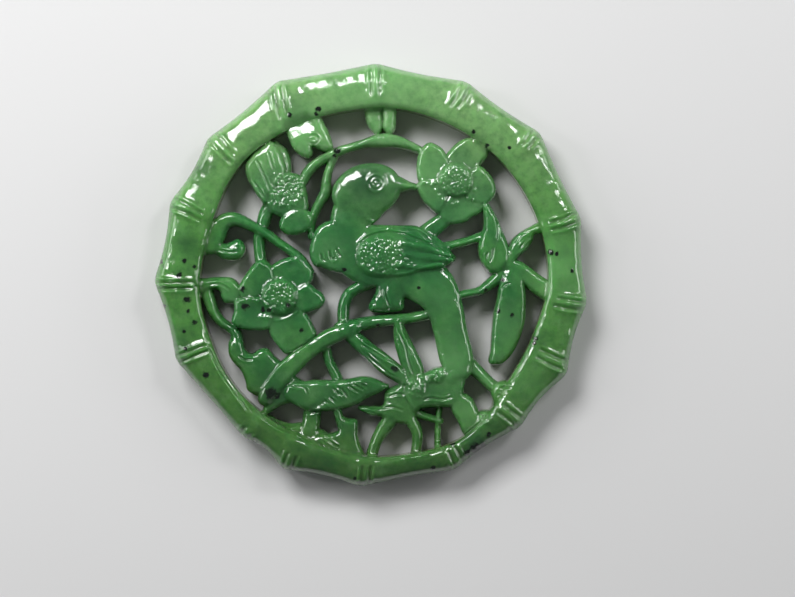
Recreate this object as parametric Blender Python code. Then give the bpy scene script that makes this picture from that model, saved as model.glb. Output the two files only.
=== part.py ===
"""Openwork jade pendant: one round plaque of carved stone, lying on its back with the carving upwards.

A bamboo ring holds a bird, two blossoms and their stems, leaves and tendrils. Every motif is drawn
in hundredths of the opening's radius and given a level as a share of the ring's thickness. The front
is the highest of the motifs' rounded surfaces at each point, and the back is plainer.
"""

import math

import bmesh
import bpy
import numpy as np
from mathutils.geometry import delaunay_2d_cdt

MM = 0.001

# Driving dimensions, in millimetres
ring_diameter = 55.4  # across the joints of the bamboo, on average
opening_diameter = 43.6  # the round that the drawing of the motifs fills
ring_thickness = 5.4
ring_waist = 0.95  # how far the outline falls in between two joints
outer_round = 2.0  # width of the ring's rounded outer edge, seen from the front
outer_fall = 2.1  # how far the front falls over that width
inner_round = 0.9
inner_fall = 0.7
back_round = 1.1
back_fall = 1.3
joint_rise = 0.3
joint_spread = 1.9  # half the length of the swelling at a joint
joint_groove = 0.35  # depth of the cut across a joint
groove_half = 0.45  # half the width of that cut
shoulder = 0.85  # width of the rounded edge of a motif
shoulder_fall = 1.2
back_recess = 0.5  # how far the motifs' backs stand in from the ring's flat back
recess_run = 0.35  # width of the slope from the ring's back to that recess
bead_diameter = 1.0
bead_rise = 0.4

# How finely the forms are cut into facets, in millimetres and shares
facet = 1.35  # the usual length of a facet along an outline
spot_gap = 0.45  # the least distance between two free points
rim_gap = 0.3  # the least distance of a back point from the rim
merge = 0.04  # points nearer than this become one
outer_row = 0.3  # place of the ring's middle row of points, as a share of outer_round
waist_stations = (0.36, 0.5, 0.64)  # shares of the way from joint to joint
curve_steps = 12
oval_sides = 16
bead_sides = 6
cap_turns = (-50, 0, 50)  # directions, in degrees, of the points round a stem's end
waist_power = 0.8  # under 1, the waist is flatter along its middle
cliff = 10  # slope of a height outside its own outline
buried_by = 0.35  # an edge this share of shoulder_fall under another form isn't cut
top_slack = 0.05  # a point this little under another form still counts as on top
clearance = 0.8  # an inner point keeps this share of shoulder from its own outline
smooth_under = math.radians(35)

# Bamboo joints round the ring: clock angle in degrees, and share of the ring's radius
BAMBOO_JOINTS = (
    (1.2, 0.987), (26.1, 1.005), (49.8, 1.028), (75.1, 1.012),
    (97.3, 1.014), (117.0, 1.022), (135.4, 0.992), (156.8, 0.987),
    (183.1, 0.988), (204.6, 0.998), (217.9, 0.965), (246.5, 0.995),
    (268.4, 1.015), (290.0, 1.0), (309.7, 0.996), (333.9, 1.005),
)  # fmt: skip

# The ring's inner edge: degrees from the right, counterclockwise, and radius in drawing units
OPENING_EDGE = (
    (0, 104.5), (22, 103), (45, 101.5), (68, 99.6), (90, 98.6), (118, 98.8),
    (145, 100.8), (180, 101.3), (205, 102.8), (225, 104.3), (248, 104.8),
    (270, 107.5), (294, 110), (308, 107.5), (321, 102.6), (340, 101.8),
)  # fmt: skip

# Stems, tendrils and the long forms: level, then (right, up, half width) along the middle
STRANDS = {
    "arch": (0.80, [(-41, 55, 2.8), (-38, 61, 3.2), (-32, 66.8, 3), (-20, 73, 3), (-12, 75.8, 2.6),
                    (-4, 78, 2.8), (4, 79.5, 4.2), (12, 79.5, 4.2), (20, 77.5, 3.2), (31, 73, 2.2)]),
    "upper twig": (0.74, [(-21, 73, 2.6), (-25, 64, 2.6), (-26.8, 56, 2.9), (-27.5, 49, 3.5),
                          (-31, 43, 3), (-34, 37, 2.8), (-35.6, 31, 2.4), (-36, 23, 2.2)]),
    "bud stem": (0.70, [(-60, 43, 3.8), (-63, 36, 4.2), (-65, 29, 3.8), (-66.8, 22, 3.6), (-65.6, 4, 3.6)]),
    "left tendril": (0.80, [(-95, 18, 6), (-91.5, 26, 5.8), (-88, 31, 5), (-83, 33, 4.5), (-77.5, 32, 3.9),
                            (-71, 29, 3.3), (-62, 24.2, 3), (-55, 19, 2.8), (-48, 14.2, 2.8),
                            (-42, 9.5, 2.7), (-36, 2, 2)]),
    "low tendril": (0.74, [(-99, -6, 4), (-96, -16, 3.7), (-93, -23, 3.2), (-89, -28, 3),
                           (-84.5, -31, 3), (-81, -34, 3.4), (-80, -39, 3.8), (-80.5, -46, 4.2)]),
    "main branch": (0.84, [(-63, -73, 4.6), (-59, -67, 5.8), (-53, -59, 6.3), (-46, -52, 6),
                           (-39, -46.3, 5), (-31, -40.5, 5), (-24, -36.5, 5.2), (-10, -31, 4.5)]),
    "shoot": (0.82, [(-46, -69.5, 6.3), (-40, -71, 8.4), (-34, -71.5, 9.4), (-23, -71.4, 9.2),
                     (-13, -69.6, 8.3), (-4.5, -66.6, 6.8), (2.5, -66.1, 4.6), (6.5, -66, 2.6),
                     (9.2, -65.8, 1.2)]),
    "middle twig": (0.66, [(-27, -41, 3), (-26, -49, 3.1), (-23.5, -55, 3.2), (-19, -64, 3.4)]),
    "bamboo stick": (0.80, [(-16, -32, 4.5), (-8, -39.5, 4.8), (0, -46.5, 5.2), (8, -53, 5.6),
                            (20, -62, 4.4)]),
    "perch": (0.76, [(-18, -32, 5), (-9, -30, 4.4), (0, -28, 3.8), (8, -27, 3.8), (16, -26.3, 3.6),
                     (24, -25.5, 3.3), (36, -23, 3.4)]),
    "hook": (0.74, [(-16.8, -30, 3.6), (-16.6, -19, 3.7), (-14, -12, 3.6), (-9, -8.2, 3.6), (0, -4, 4)]),
    "flower stem": (0.78, [(28, 21, 6), (36, 27.5, 5.4), (43, 33, 5), (49, 40, 5)]),
    "leaf stem": (0.74, [(32, 15, 4), (45, 17, 3), (52, 18.8, 2.8), (58, 20.3, 2.8), (68, 24, 3)]),
    "crossing stem": (0.78, [(48, -13, 2.8), (57, -11, 2.6), (64, -9.5, 2.8), (70, -5.5, 3.4),
                             (76, -0.5, 3.8), (83, 6, 4.2)]),
    "ring stem": (0.82, [(78, 8, 4), (86, 4, 4.8), (92, -0.5, 5.2), (98, -5.5, 5.6), (108, -12, 6)]),
    "tail twig": (0.72, [(57, -52, 4.8), (64, -58.5, 3.9), (70, -64.3, 3.7), (76, -69, 4.5), (86, -76, 5)]),
    "blade leaf": (0.78, [(15.2, -26, 2.6), (17.5, -37, 4.6), (20.8, -46, 5.8), (24.6, -55, 6.2),
                          (28, -64, 5)]),
    "fan left": (0.70, [(14, -82, 5), (8, -90, 4.5), (3, -98, 3.6), (-1, -110, 3.5)]),
    "fan right": (0.74, [(21, -83, 4), (26.5, -92, 3.6), (27, -99, 3.2), (25, -111, 3)]),
    "strut": (0.68, [(-35, -76, 5.5), (-36, -88, 5.5), (-39, -102, 6)]),
    "stalk": (0.74, [(-21, -79, 2.8), (-18, -88, 2.8), (-14, -98, 3)]),
    "thin twig": (0.66, [(41, -74, 2.2), (39.5, -86, 2), (39, -108, 2.2)]),
    "small bar": (0.68, [(24, -81, 3), (32, -84, 2.6), (41, -87, 2)]),
    "breast": (0.88, [(-6, 44, 15), (-12, 33, 12.5), (-12, 22, 13), (-9, 12, 14), (0, 4, 12)]),
    "back": (0.90, [(-4, 18, 12), (14, 17, 12.5), (26, 15.5, 13.5), (36, 15, 8), (47, 10, 3)]),
    "body and tail": (0.92, [(2, 8, 14), (14, 4, 15), (26, 0, 15), (37, -8, 13.5), (43.2, -19, 11),
                             (46.2, -31, 10.1), (48.4, -41, 10.1), (50.4, -49.5, 10.1), (51.5, -55, 8.3)]),
    "upper feather": (1.04, [(19, 18.8, 2), (33, 15.6, 2.3), (46, 11.6, 1.4)]),
    "middle feather": (1.04, [(18, 12.6, 2), (33, 10.4, 2.3), (47, 8.8, 1.4)]),
    "lower feather": (1.04, [(15, 6, 2), (29, 5, 2.3), (42, 6, 1.3)]),
    "beak": (0.86, [(6, 55, 8), (17, 53.2, 4.8), (23, 52.6, 2.6), (29, 52, 1.6)]),
}  # fmt: skip

# Leaves, petals and lobes: level, then the outline's points, right and up
PATCHES = {
    "neck left": (0.72, [(-4, 102), (-3.6, 92), (-1, 86.5), (3, 83), (6.5, 86), (6.6, 92), (6, 103)]),
    "neck right": (0.80, [(6.4, 103), (6.6, 92), (6.6, 87), (10, 83), (13.5, 85), (14.6, 90), (14, 103)]),
    "curled leaf": (0.88, [(-51, 87), (-49, 80), (-46, 74), (-41, 70), (-37, 69.4), (-35, 72),
                           (-34.8, 75.6), (-31, 74.3), (-28, 73), (-23, 74.5), (-23.6, 80), (-27, 88),
                           (-34, 98), (-46, 97)]),
    "bud leaf": (0.88, [(-75, 65), (-71.5, 70.5), (-65, 76), (-60, 79.5), (-55.5, 76), (-52.5, 70),
                        (-50.5, 63), (-52, 57), (-58, 50), (-63, 42), (-67, 45.5), (-71, 52), (-74, 58)]),
    "bud back leaf": (0.72, [(-58, 79), (-54, 77.8), (-50, 74.2), (-47.9, 68), (-47.8, 60), (-52, 56),
                             (-60, 62)]),
    "calyx": (0.84, [(-61, 58), (-53, 61), (-44, 60), (-40, 56), (-38.5, 50), (-37.5, 44), (-38, 38),
                     (-45, 34), (-52, 34), (-57, 35.5), (-61, 39), (-64, 45), (-63, 53)]),
    "left lobe": (0.76, [(-101, 22), (-92, 22.5), (-88, 19), (-84, 19.5), (-79, 21.5), (-75.3, 18),
                         (-75, 14), (-77.5, 10), (-82, 8.3), (-88.5, 9.4), (-93, 12), (-102, 12)]),
    "comma leaf": (0.80, [(-105, -3), (-96, -1.5), (-89, -1), (-83, -1.6), (-78.8, -5), (-77, -10),
                          (-77.4, -14.6), (-80.5, -17), (-87, -16.6), (-89.3, -13), (-90.3, -9.5),
                          (-95, -9), (-105, -12)]),
    "curl": (0.78, [(-84, -38), (-85, -46), (-82, -52), (-77.5, -57), (-75, -63), (-73, -69), (-64, -72),
                    (-56, -62), (-53, -53), (-57, -48.5), (-62, -43.5), (-67, -44), (-71, -46.5),
                    (-75, -44), (-77, -38)]),
    "foot": (0.72, [(-69, -65), (-65, -73), (-64.6, -79), (-69, -86), (-67, -91), (-62.5, -83.8),
                    (-59, -81), (-55, -78.4), (-50, -76.6), (-44, -76.5), (-38, -79), (-30, -82),
                    (-26, -74), (-32, -66), (-42, -62), (-50, -57), (-60, -57)]),
    "low web": (0.62, [(-67, -85), (-60, -83.4), (-55.8, -85.8), (-49, -87.9), (-40.6, -87.6),
                       (-33, -90), (-26, -93.5), (-20, -98), (-14, -106), (-20, -114), (-45, -106),
                       (-66, -92)]),
    "tick lobe": (0.82, [(-31, 29.5), (-35, 23), (-37, 14), (-34.5, 6), (-29, 4), (-22, 1.5), (-12, 1),
                         (-6, 8), (-12, 22), (-22, 32)]),
    "leg": (0.92, [(3, -4), (2.4, -9.4), (-0.1, -14.8), (-1.8, -18.2), (-1, -21.3), (3.2, -22.2),
                   (9.9, -22.1), (16.7, -21.4), (19.2, -19.6), (19.4, -15.8), (21.7, -11.9),
                   (26.7, -14.8), (30.1, -19), (38, -16), (32, 0), (14, 4)]),
    "wing": (1.0, [(-9, 14), (-6, 18.5), (0, 22), (8, 24), (16, 23), (24, 20.5), (32, 17.5), (40, 14.5),
                   (47, 12), (47.5, 8), (44, 5.5), (38, 4.5), (30, 2), (22, -0.8), (12, -2), (2, -1.5),
                   (-5, 1.5), (-9, 7)]),
    "drop leaf": (0.88, [(68, 44), (71, 40), (74.5, 34), (77, 28), (79.5, 22), (81.5, 15), (80.5, 8),
                         (77, 2.5), (71, 1), (66.5, 5), (64, 10), (63, 17), (65, 24), (66.3, 31),
                         (65.5, 38), (65, 42)]),
    "grooved leaf": (0.84, [(80.5, 15), (83.5, 21.5), (88, 25.5), (93, 28.5), (103, 32.5), (106, 26),
                            (97, 24), (95.3, 20), (92, 15), (88, 11.5), (84, 7), (79, 6)]),
    "long leaf": (0.84, [(80, 4), (76, -3), (74, -14), (72, -24), (71, -34), (70.4, -44),
                         (69.5, -52), (76, -53), (81, -49.5), (85, -44), (88.5, -36), (91, -27),
                         (91.5, -18), (91, -7), (87, 2)]),
    "bead cluster": (0.84, [(20, -63), (24, -59.5), (31, -58), (37, -55), (43, -54), (50, -56),
                            (56, -58), (55, -66), (54, -71), (48, -78), (40, -78.5), (30, -79),
                            (25, -82), (21, -76), (19, -70)]),
    "fan leaf": (0.74, [(8, -69), (13, -66), (20, -64), (24, -70), (27, -78), (26, -85), (20, -89),
                        (12, -87), (4, -84), (-1, -83.5), (-8, -79.5), (-7, -77.5), (0, -77.6),
                        (6.5, -77)]),
    "low mass": (0.74, [(-22, -79), (-15, -84.5), (-8.5, -86), (-8, -95), (-6, -102), (-3, -112),
                        (-22, -114), (-42, -104), (-34, -95), (-27, -94), (-20.5, -92.5), (-21, -88)]),
    "round leaf": (0.82, [(46, -74), (53, -69.5), (59, -72.5), (62.5, -78), (64.5, -85), (62, -95),
                          (55, -95), (51, -87), (47.5, -81)]),
    "ring leaf": (0.86, [(73.5, -64), (70.5, -69), (71.8, -75), (70, -79.5), (64, -81), (60, -90),
                         (70, -94), (82, -86), (88, -74), (82, -63)]),
}  # fmt: skip

# Blossoms: middle, radius of the stamen dome, and the outlines of the petals
BLOSSOMS = {
    "left blossom": ((-54.5, -13), 10.8, [
        [(-77.5, -4), (-73.5, 2), (-70, 6.5), (-66, 9), (-61, 7.5), (-58, 2), (-58, -8), (-66, -13),
         (-76, -14), (-79, -9)],
        [(-60, 4), (-56, 8), (-50, 10.5), (-45, 11), (-39.5, 8), (-36, 3.5), (-34.5, -1), (-37, -6),
         (-46, -10), (-56, -6)],
        [(-46, -9), (-38, -4.5), (-33, -8), (-29, -11), (-27.3, -15), (-29.5, -18.7), (-33, -20.7),
         (-39, -22.5), (-46, -19)],
        [(-60, -22), (-46, -18), (-39, -22), (-35, -29), (-33, -36), (-42, -43), (-50, -47), (-55, -43),
         (-60, -36), (-62, -29)],
        [(-81, -15), (-74, -12.5), (-62, -13), (-58, -22), (-60, -31), (-64, -33), (-70, -33),
         (-75, -32.5), (-81, -30.5), (-83, -27), (-81.5, -21)],
    ]),
    "right blossom": ((49.5, 56), 10.3, [
        [(28, 55), (26.4, 63), (27.4, 71), (30, 76), (34, 78.5), (38, 77.5), (43, 73.5), (46, 66),
         (44, 55), (34, 52)],
        [(44, 70), (48, 76), (53, 80), (58, 81.5), (63.5, 79.5), (69, 75.5), (69, 71), (66, 66.5),
         (60, 61), (48, 60)],
        [(54, 61), (60, 63), (64, 64.7), (68, 62), (72, 57), (73.7, 52), (73, 47), (70.5, 43.5),
         (66.5, 41.5), (60, 43), (53, 50)],
        [(43, 47), (56, 48), (64, 46), (66.5, 41), (65, 37), (60, 34.5), (56, 31.5), (50, 30),
         (45, 30), (41, 33), (39, 38), (40, 43)],
        [(26.5, 52), (28, 55.5), (34, 57), (42, 56), (46, 50), (44, 42), (41, 37), (38, 36.5),
         (34, 40), (31, 43), (28.5, 47)],
    ]),
}  # fmt: skip
petal_level = 0.84
stamen_level = 0.97

# Round forms: level, middle, the two radii and the turn in degrees
ROUNDS = {
    "head": (0.95, (-3, 50), (21, 15.8), 16),
    "berry": (0.88, (-44.5, 31.5), (10.6, 7.8), 18),
    "eye": (1.06, (3.3, 54.3), (3.6, 3.6), 0),
}

# Rows of beads: level, first and last bead, and how many
BEAD_ROWS = (
    (0.84, (-57, 59), (-43, 57.5), 4),
    (0.84, (-56.5, 54.5), (-41, 52), 4),
    (0.84, (-61, 49), (-41, 46.5), 5),
    (0.84, (-62.5, 43), (-52, 41), 3),
    (0.84, (33.5, -57.6), (39.5, -57.4), 2),
    (0.84, (29.8, -61.4), (41.8, -60.4), 3),
    (0.84, (22.8, -65), (30.4, -66.4), 3),
)

JADE = (0.105, 0.30, 0.115, 1.0)
jade_roughness = 0.22

unit = opening_diameter / 200
ring_radius = ring_diameter / 2


def smooth(points, closed):
    """A dense Catmull-Rom curve through the points, all of whose columns are carried along."""
    p = np.asarray(points, float)
    if closed:
        p = np.vstack([p[-1:], p, p[:2]])
    else:
        p = np.vstack([2 * p[0] - p[1], p, 2 * p[-1] - p[-2]])
    t = np.linspace(0, 1, curve_steps, endpoint=False)[None, :, None]
    a, b, c, d = (p[k : len(p) - 3 + k][:, None, :] for k in range(4))
    curve = 0.5 * (2 * b + (c - a) * t + (2 * a - 5 * b + 4 * c - d) * t**2 + (3 * b - a - 3 * c + d) * t**3)
    curve = curve.reshape(-1, p.shape[1])
    return curve if closed else np.vstack([curve, p[-2]])


def resample(curve, spacing, closed):
    """The curve cut into equal lengths of about the spacing."""
    ring = np.vstack([curve, curve[:1]]) if closed else curve
    along = np.concatenate([[0], np.cumsum(np.hypot(*np.diff(ring[:, :2], axis=0).T))])
    count = max(6 if closed else 2, round(along[-1] / spacing))
    stops = np.linspace(0, along[-1], count + 1)
    if closed:
        stops = stops[:-1]
    return np.stack([np.interp(stops, along, column) for column in ring.T], axis=1)


def winding(points, outline):
    """How often the outline turns round each point."""
    ahead = np.roll(outline, -1, axis=0)
    x, y = points[:, 0, None], points[:, 1, None]
    up = (outline[:, 1] <= y) & (ahead[:, 1] > y)
    down = (outline[:, 1] > y) & (ahead[:, 1] <= y)
    side = (ahead[:, 0] - outline[:, 0]) * (y - outline[:, 1]) - (x - outline[:, 0]) * (
        ahead[:, 1] - outline[:, 1]
    )
    return (up & (side > 0)).sum(axis=1) - (down & (side < 0)).sum(axis=1)


def to_segments(points, start, end):
    """For each point, the distance to each segment and the share along it of the nearest place."""
    run = end - start
    share = ((points[:, None] - start) * run).sum(axis=2) / np.maximum((run**2).sum(axis=1), 1e-12)
    share = share.clip(0, 1)
    return np.linalg.norm(points[:, None] - start - share[..., None] * run, axis=2), share


def rounded(level, inset, width):
    """A level that falls off in a quarter round over the width inside an edge, and sharply outside it."""
    part = (1 - inset / width).clip(0, 1)
    fall = shoulder_fall * (1 - np.sqrt(1 - part**2))
    return level * ring_thickness - fall - cliff * (-inset).clip(0)


def strand(level, points):
    """A long form with round ends: its outline, and its height from the distance to its middle line."""
    middle = resample(smooth(points, closed=False) * unit, facet, closed=False)
    centre, half = middle[:, :2], middle[:, 2]
    along = np.gradient(centre, axis=0)
    along /= np.linalg.norm(along, axis=1)[:, None]
    across = np.stack([-along[:, 1], along[:, 0]], axis=1)
    left = centre + across * half[:, None]
    right = centre - across * half[:, None]
    turns = np.radians(cap_turns)[:, None]
    tip = centre[-1] + half[-1] * (np.cos(turns) * along[-1] + np.sin(turns) * across[-1])
    root = centre[0] - half[0] * (np.cos(turns) * along[0] + np.sin(turns) * across[0])
    outline = np.vstack([right, tip, left[::-1], root])

    def height(spots):
        apart, share = to_segments(spots, centre[:-1], centre[1:])
        reach = half[:-1] + share * np.diff(half) - apart
        inset = reach.max(axis=1)
        width = np.minimum(shoulder, np.interp(reach.argmax(axis=1), np.arange(len(half)), half))
        return rounded(level, inset, width)

    return {"outline": outline, "inside": centre[1:-1], "height": height}


def patch(level, points):
    """A leaf or petal: its smooth outline, and its height from the distance to that outline."""
    outline = resample(smooth(points, closed=True) * unit, facet, closed=True)
    if np.cross(outline, np.roll(outline, -1, axis=0)).sum() < 0:
        outline = outline[::-1]
    ahead = np.roll(outline, -1, axis=0) - np.roll(outline, 1, axis=0)
    inward = np.stack([-ahead[:, 1], ahead[:, 0]], axis=1) / np.linalg.norm(ahead, axis=1)[:, None]

    def height(spots):
        apart = to_segments(spots, outline, np.roll(outline, -1, axis=0))[0].min(axis=1)
        inset = np.where(winding(spots, outline) != 0, apart, -apart)
        return rounded(level, inset, shoulder)

    inside = outline + inward * shoulder
    clear = to_segments(inside, outline, np.roll(outline, -1, axis=0))[0].min(axis=1)
    inside = inside[(clear > clearance * shoulder) & (winding(inside, outline) != 0)][::2]
    return {"outline": outline, "inside": inside, "height": height}


def oval(middle, radii, turn):
    """The points of an oval, counterclockwise, in drawing units."""
    angle = np.linspace(0, 2 * math.pi, oval_sides, endpoint=False)
    along, across = radii[0] * np.cos(angle), radii[1] * np.sin(angle)
    turn = math.radians(turn)
    right = middle[0] + along * math.cos(turn) - across * math.sin(turn)
    up = middle[1] + along * math.sin(turn) + across * math.cos(turn)
    return np.stack([right, up], axis=1)


def bead(level, middle):
    """A small round bump."""
    angle = np.linspace(0, 2 * math.pi, bead_sides, endpoint=False)
    centre = np.array(middle) * unit
    outline = centre + bead_diameter / 2 * np.stack([np.cos(angle), np.sin(angle)], axis=1)

    def height(spots):
        inset = bead_diameter / 2 - np.linalg.norm(spots - centre, axis=1)
        share = 1 - inset / (bead_diameter / 2)
        return level * ring_thickness + bead_rise * (1 - share**2).clip(0) - cliff * (-inset - merge).clip(0)

    return {"outline": outline, "inside": centre[None], "height": height}


def joint_angles():
    """The joints' angles from the right, counterclockwise and rising, with their radii."""
    clock, share = np.array(BAMBOO_JOINTS).T
    angle = np.radians(90 - clock) % (2 * math.pi)
    order = np.argsort(angle)
    return angle[order], ring_radius * share[order]


def ring_outer(angle):
    """The ring's outer radius: straight from joint to joint, less a waist in between them."""
    joints, radii = joint_angles()
    joints = np.concatenate([joints, joints[:1] + 2 * math.pi])
    radii = np.concatenate([radii, radii[:1]])
    angle = (angle - joints[0]) % (2 * math.pi) + joints[0]
    span = (np.searchsorted(joints, angle, side="right") - 1).clip(0, len(joints) - 2)
    share = (angle - joints[span]) / (joints[span + 1] - joints[span])
    chord = radii[span] + share * (radii[span + 1] - radii[span])
    return chord - ring_waist * np.sin(math.pi * share) ** waist_power


def ring_inner(angle):
    """The radius of the ring's inner edge."""
    degrees, radii = np.array(OPENING_EDGE, float).T
    edge = np.stack([radii * np.cos(np.radians(degrees)), radii * np.sin(np.radians(degrees))], axis=1)
    edge = smooth(edge, closed=True) * unit
    around = np.arctan2(edge[:, 1], edge[:, 0]) % (2 * math.pi)
    order = np.argsort(around)
    return np.interp(angle % (2 * math.pi), around[order], np.hypot(*edge[order].T), period=2 * math.pi)


def from_joint(angle, radius):
    """The distance round the ring from each place to the nearest joint."""
    joints = joint_angles()[0]
    turn = (angle[:, None] - joints + math.pi) % (2 * math.pi) - math.pi
    return np.abs(turn).min(axis=1) * radius


def ring_height(spots):
    """The ring's front: rounded outer edge, softer inner edge, and a swelling with a cut at each joint."""
    radius, angle = np.hypot(*spots.T), np.arctan2(spots[:, 1], spots[:, 0])
    from_outer, from_inner = ring_outer(angle) - radius, radius - ring_inner(angle)
    outer_part = (1 - from_outer / outer_round).clip(0, 1)
    inner_part = (1 - from_inner / inner_round).clip(0, 1)
    fall = outer_fall * (1 - np.sqrt(1 - outer_part**2)) + inner_fall * (1 - np.sqrt(1 - inner_part**2))
    away = from_joint(angle, radius)
    swelling = joint_rise * (1 - away / joint_spread).clip(0)
    cut = joint_groove * (1 - away / groove_half).clip(0)
    outside = (-np.minimum(from_outer, from_inner)).clip(0)
    return ring_thickness + swelling - cut - fall - cliff * outside


def ring_stations():
    """The angles at which the ring has a row of points: both lips and the cut of each joint, and between."""
    joints = joint_angles()[0]
    lips = np.concatenate([joints + k * groove_half / ring_radius for k in (-1, 0, 1)])
    spread = np.concatenate([joints + k * joint_spread / ring_radius for k in (-1, 1)])
    gaps = np.diff(np.concatenate([joints, joints[:1] + 2 * math.pi]))
    between = np.concatenate([joints + gaps * share for share in waist_stations])
    return np.sort(np.concatenate([lips, spread, between]) % (2 * math.pi))


def at_polar(radius, angle):
    return np.stack([radius * np.cos(angle), radius * np.sin(angle)], axis=1)


def ring():
    """The bamboo ring: its two outlines, its rows of points with the cuts across them, and its height."""
    angle = ring_stations()
    outer, inner = ring_outer(angle), ring_inner(angle)
    rows = [outer, outer - outer_round * outer_row, outer - outer_round, inner + inner_round, inner]
    grid = np.stack([at_polar(row, angle) for row in rows])
    at_cut = from_joint(angle, ring_radius) < joint_spread / 2
    lines = [np.vstack([row, row[:1]]) for row in grid[1:-1]]
    return {
        "outline": grid[0],
        "hole": grid[-1][::-1],
        "inside": np.empty((0, 2)),
        "lines": lines + list(grid.transpose(1, 0, 2)[at_cut]),
        "height": ring_height,
    }


def motifs():
    """Every form in the ring's opening."""
    forms = [strand(level, points) for level, points in STRANDS.values()]
    forms += [patch(level, points) for level, points in PATCHES.values()]
    for middle, radius, petals in BLOSSOMS.values():
        forms += [patch(petal_level, petal) for petal in petals]
        forms.append(patch(stamen_level, oval(middle, (radius, radius), 0)))
    forms += [patch(level, oval(*form)) for level, *form in ROUNDS.values()]
    for level, first, last, count in BEAD_ROWS:
        for share in np.linspace(0, 1, round(count)):
            forms.append(bead(level, np.array(first) * (1 - share) + np.array(last) * share))
    return forms


def front_height(spots, forms):
    return np.max([form["height"](spots) for form in forms], axis=0)


def back_height(spots):
    """The back: flat on the ring with rounded edges, and a little further in behind the motifs."""
    radius, angle = np.hypot(*spots.T), np.arctan2(spots[:, 1], spots[:, 0])
    from_outer, from_inner = ring_outer(angle) - radius, radius - ring_inner(angle)
    part = (1 - from_outer / back_round).clip(0, 1)
    recess = back_recess * (-from_inner / recess_run).clip(0, 1)
    return recess + back_fall * (1 - np.sqrt(1 - part**2))


def seen_edges(form, forms):
    """The outline's edges that aren't buried in a higher form."""
    outline = form["outline"]
    ahead = np.roll(outline, -1, axis=0) - np.roll(outline, 1, axis=0)
    inward = np.stack([-ahead[:, 1], ahead[:, 0]], axis=1) / np.linalg.norm(ahead, axis=1)[:, None]
    buried = np.ones(len(outline), bool)
    for step in (0, shoulder / 2):
        spots = outline + inward * step
        buried &= front_height(spots, forms) > form["height"](spots) + buried_by * shoulder_fall
    return ~(buried & np.roll(buried, -1))


def plan(forms):
    """The points and the fixed edges of the front, seen from above."""
    points, edges = [], []
    for form in forms:
        loops = [(form["outline"], seen_edges(form, forms))]
        if "hole" in form:
            loops.append((form["hole"], np.ones(len(form["hole"]), bool)))
        for loop, seen in loops:
            first, count = sum(map(len, points)), len(loop)
            used = seen | np.roll(seen, 1)
            place = first + np.cumsum(used) - 1
            points.append(loop[used])
            edges += [(int(place[k]), int(place[(k + 1) % count])) for k in np.flatnonzero(seen)]
        for line in form.get("lines", []):
            first = sum(map(len, points))
            top = on_top(form, line, forms)
            points.append(line)
            edges += [(first + k, first + k + 1) for k in range(len(line) - 1) if top[k] and top[k + 1]]
    free = [np.vstack(points)]
    for form in forms:
        spots = form["inside"]
        for spot in spots[on_top(form, spots, forms)]:
            if min(np.linalg.norm(known - spot, axis=1).min() for known in free) > spot_gap:
                free.append(spot[None])
    return np.vstack(free), edges


def on_top(form, spots, forms):
    """Whether the form's own surface is the highest at each spot."""
    return form["height"](spots) > front_height(spots, forms) - top_slack


def inside_any(spots, forms):
    inside = np.zeros(len(spots), bool)
    for form in forms:
        here = winding(spots, form["outline"]) != 0
        if "hole" in form:
            here &= winding(spots, form["hole"]) == 0
        inside |= here
    return inside


def triangulate(points, edges, nearness):
    """A Delaunay net over the points that keeps the edges: its points and its triangles."""
    spots, _, faces, origin, _, _ = delaunay_2d_cdt([tuple(p) for p in points], edges, [], 0, nearness)
    return np.array([tuple(p) for p in spots]), np.array(faces), origin


def borders(faces):
    """The directed edges that belong to one triangle only."""
    directed = np.vstack([faces[:, [0, 1]], faces[:, [1, 2]], faces[:, [2, 0]]])
    known = {tuple(edge) for edge in directed.tolist()}
    return [edge for edge in known if edge[::-1] not in known]


def without_pinches(faces, keep):
    """Fills the triangles round each point where two gaps meet, so that the walls there stay closed."""
    while True:
        starts = np.array([edge[0] for edge in borders(faces[keep])])
        corners, count = np.unique(starts, return_counts=True)
        if (count == 1).all():
            return keep
        keep = keep | np.isin(faces, corners[count > 1]).any(axis=1)


def back_rows(forms, rim_spots):
    """Rows of points round the ring's back and down to the recess, with the edges that join them."""
    angle = ring_stations()
    radii = [ring_outer(angle) - back_round, ring_inner(angle), ring_inner(angle) - recess_run]
    rows = np.vstack([at_polar(radius, angle) for radius in radii])
    apart = np.linalg.norm(rows[:, None] - rim_spots, axis=2).min(axis=1)
    kept = (apart > rim_gap) & inside_any(rows, forms)
    place = np.cumsum(kept) - 1
    edges = []
    for first in range(0, len(rows), len(angle)):
        for k in range(len(angle)):
            start, end = first + k, first + (k + 1) % len(angle)
            between = rows[start] + np.arange(0, 1, rim_gap / facet)[:, None] * (rows[end] - rows[start])
            if kept[start] and kept[end] and inside_any(between, forms).all():
                edges.append((int(place[start]), int(place[end])))
    return rows[kept], edges


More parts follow.
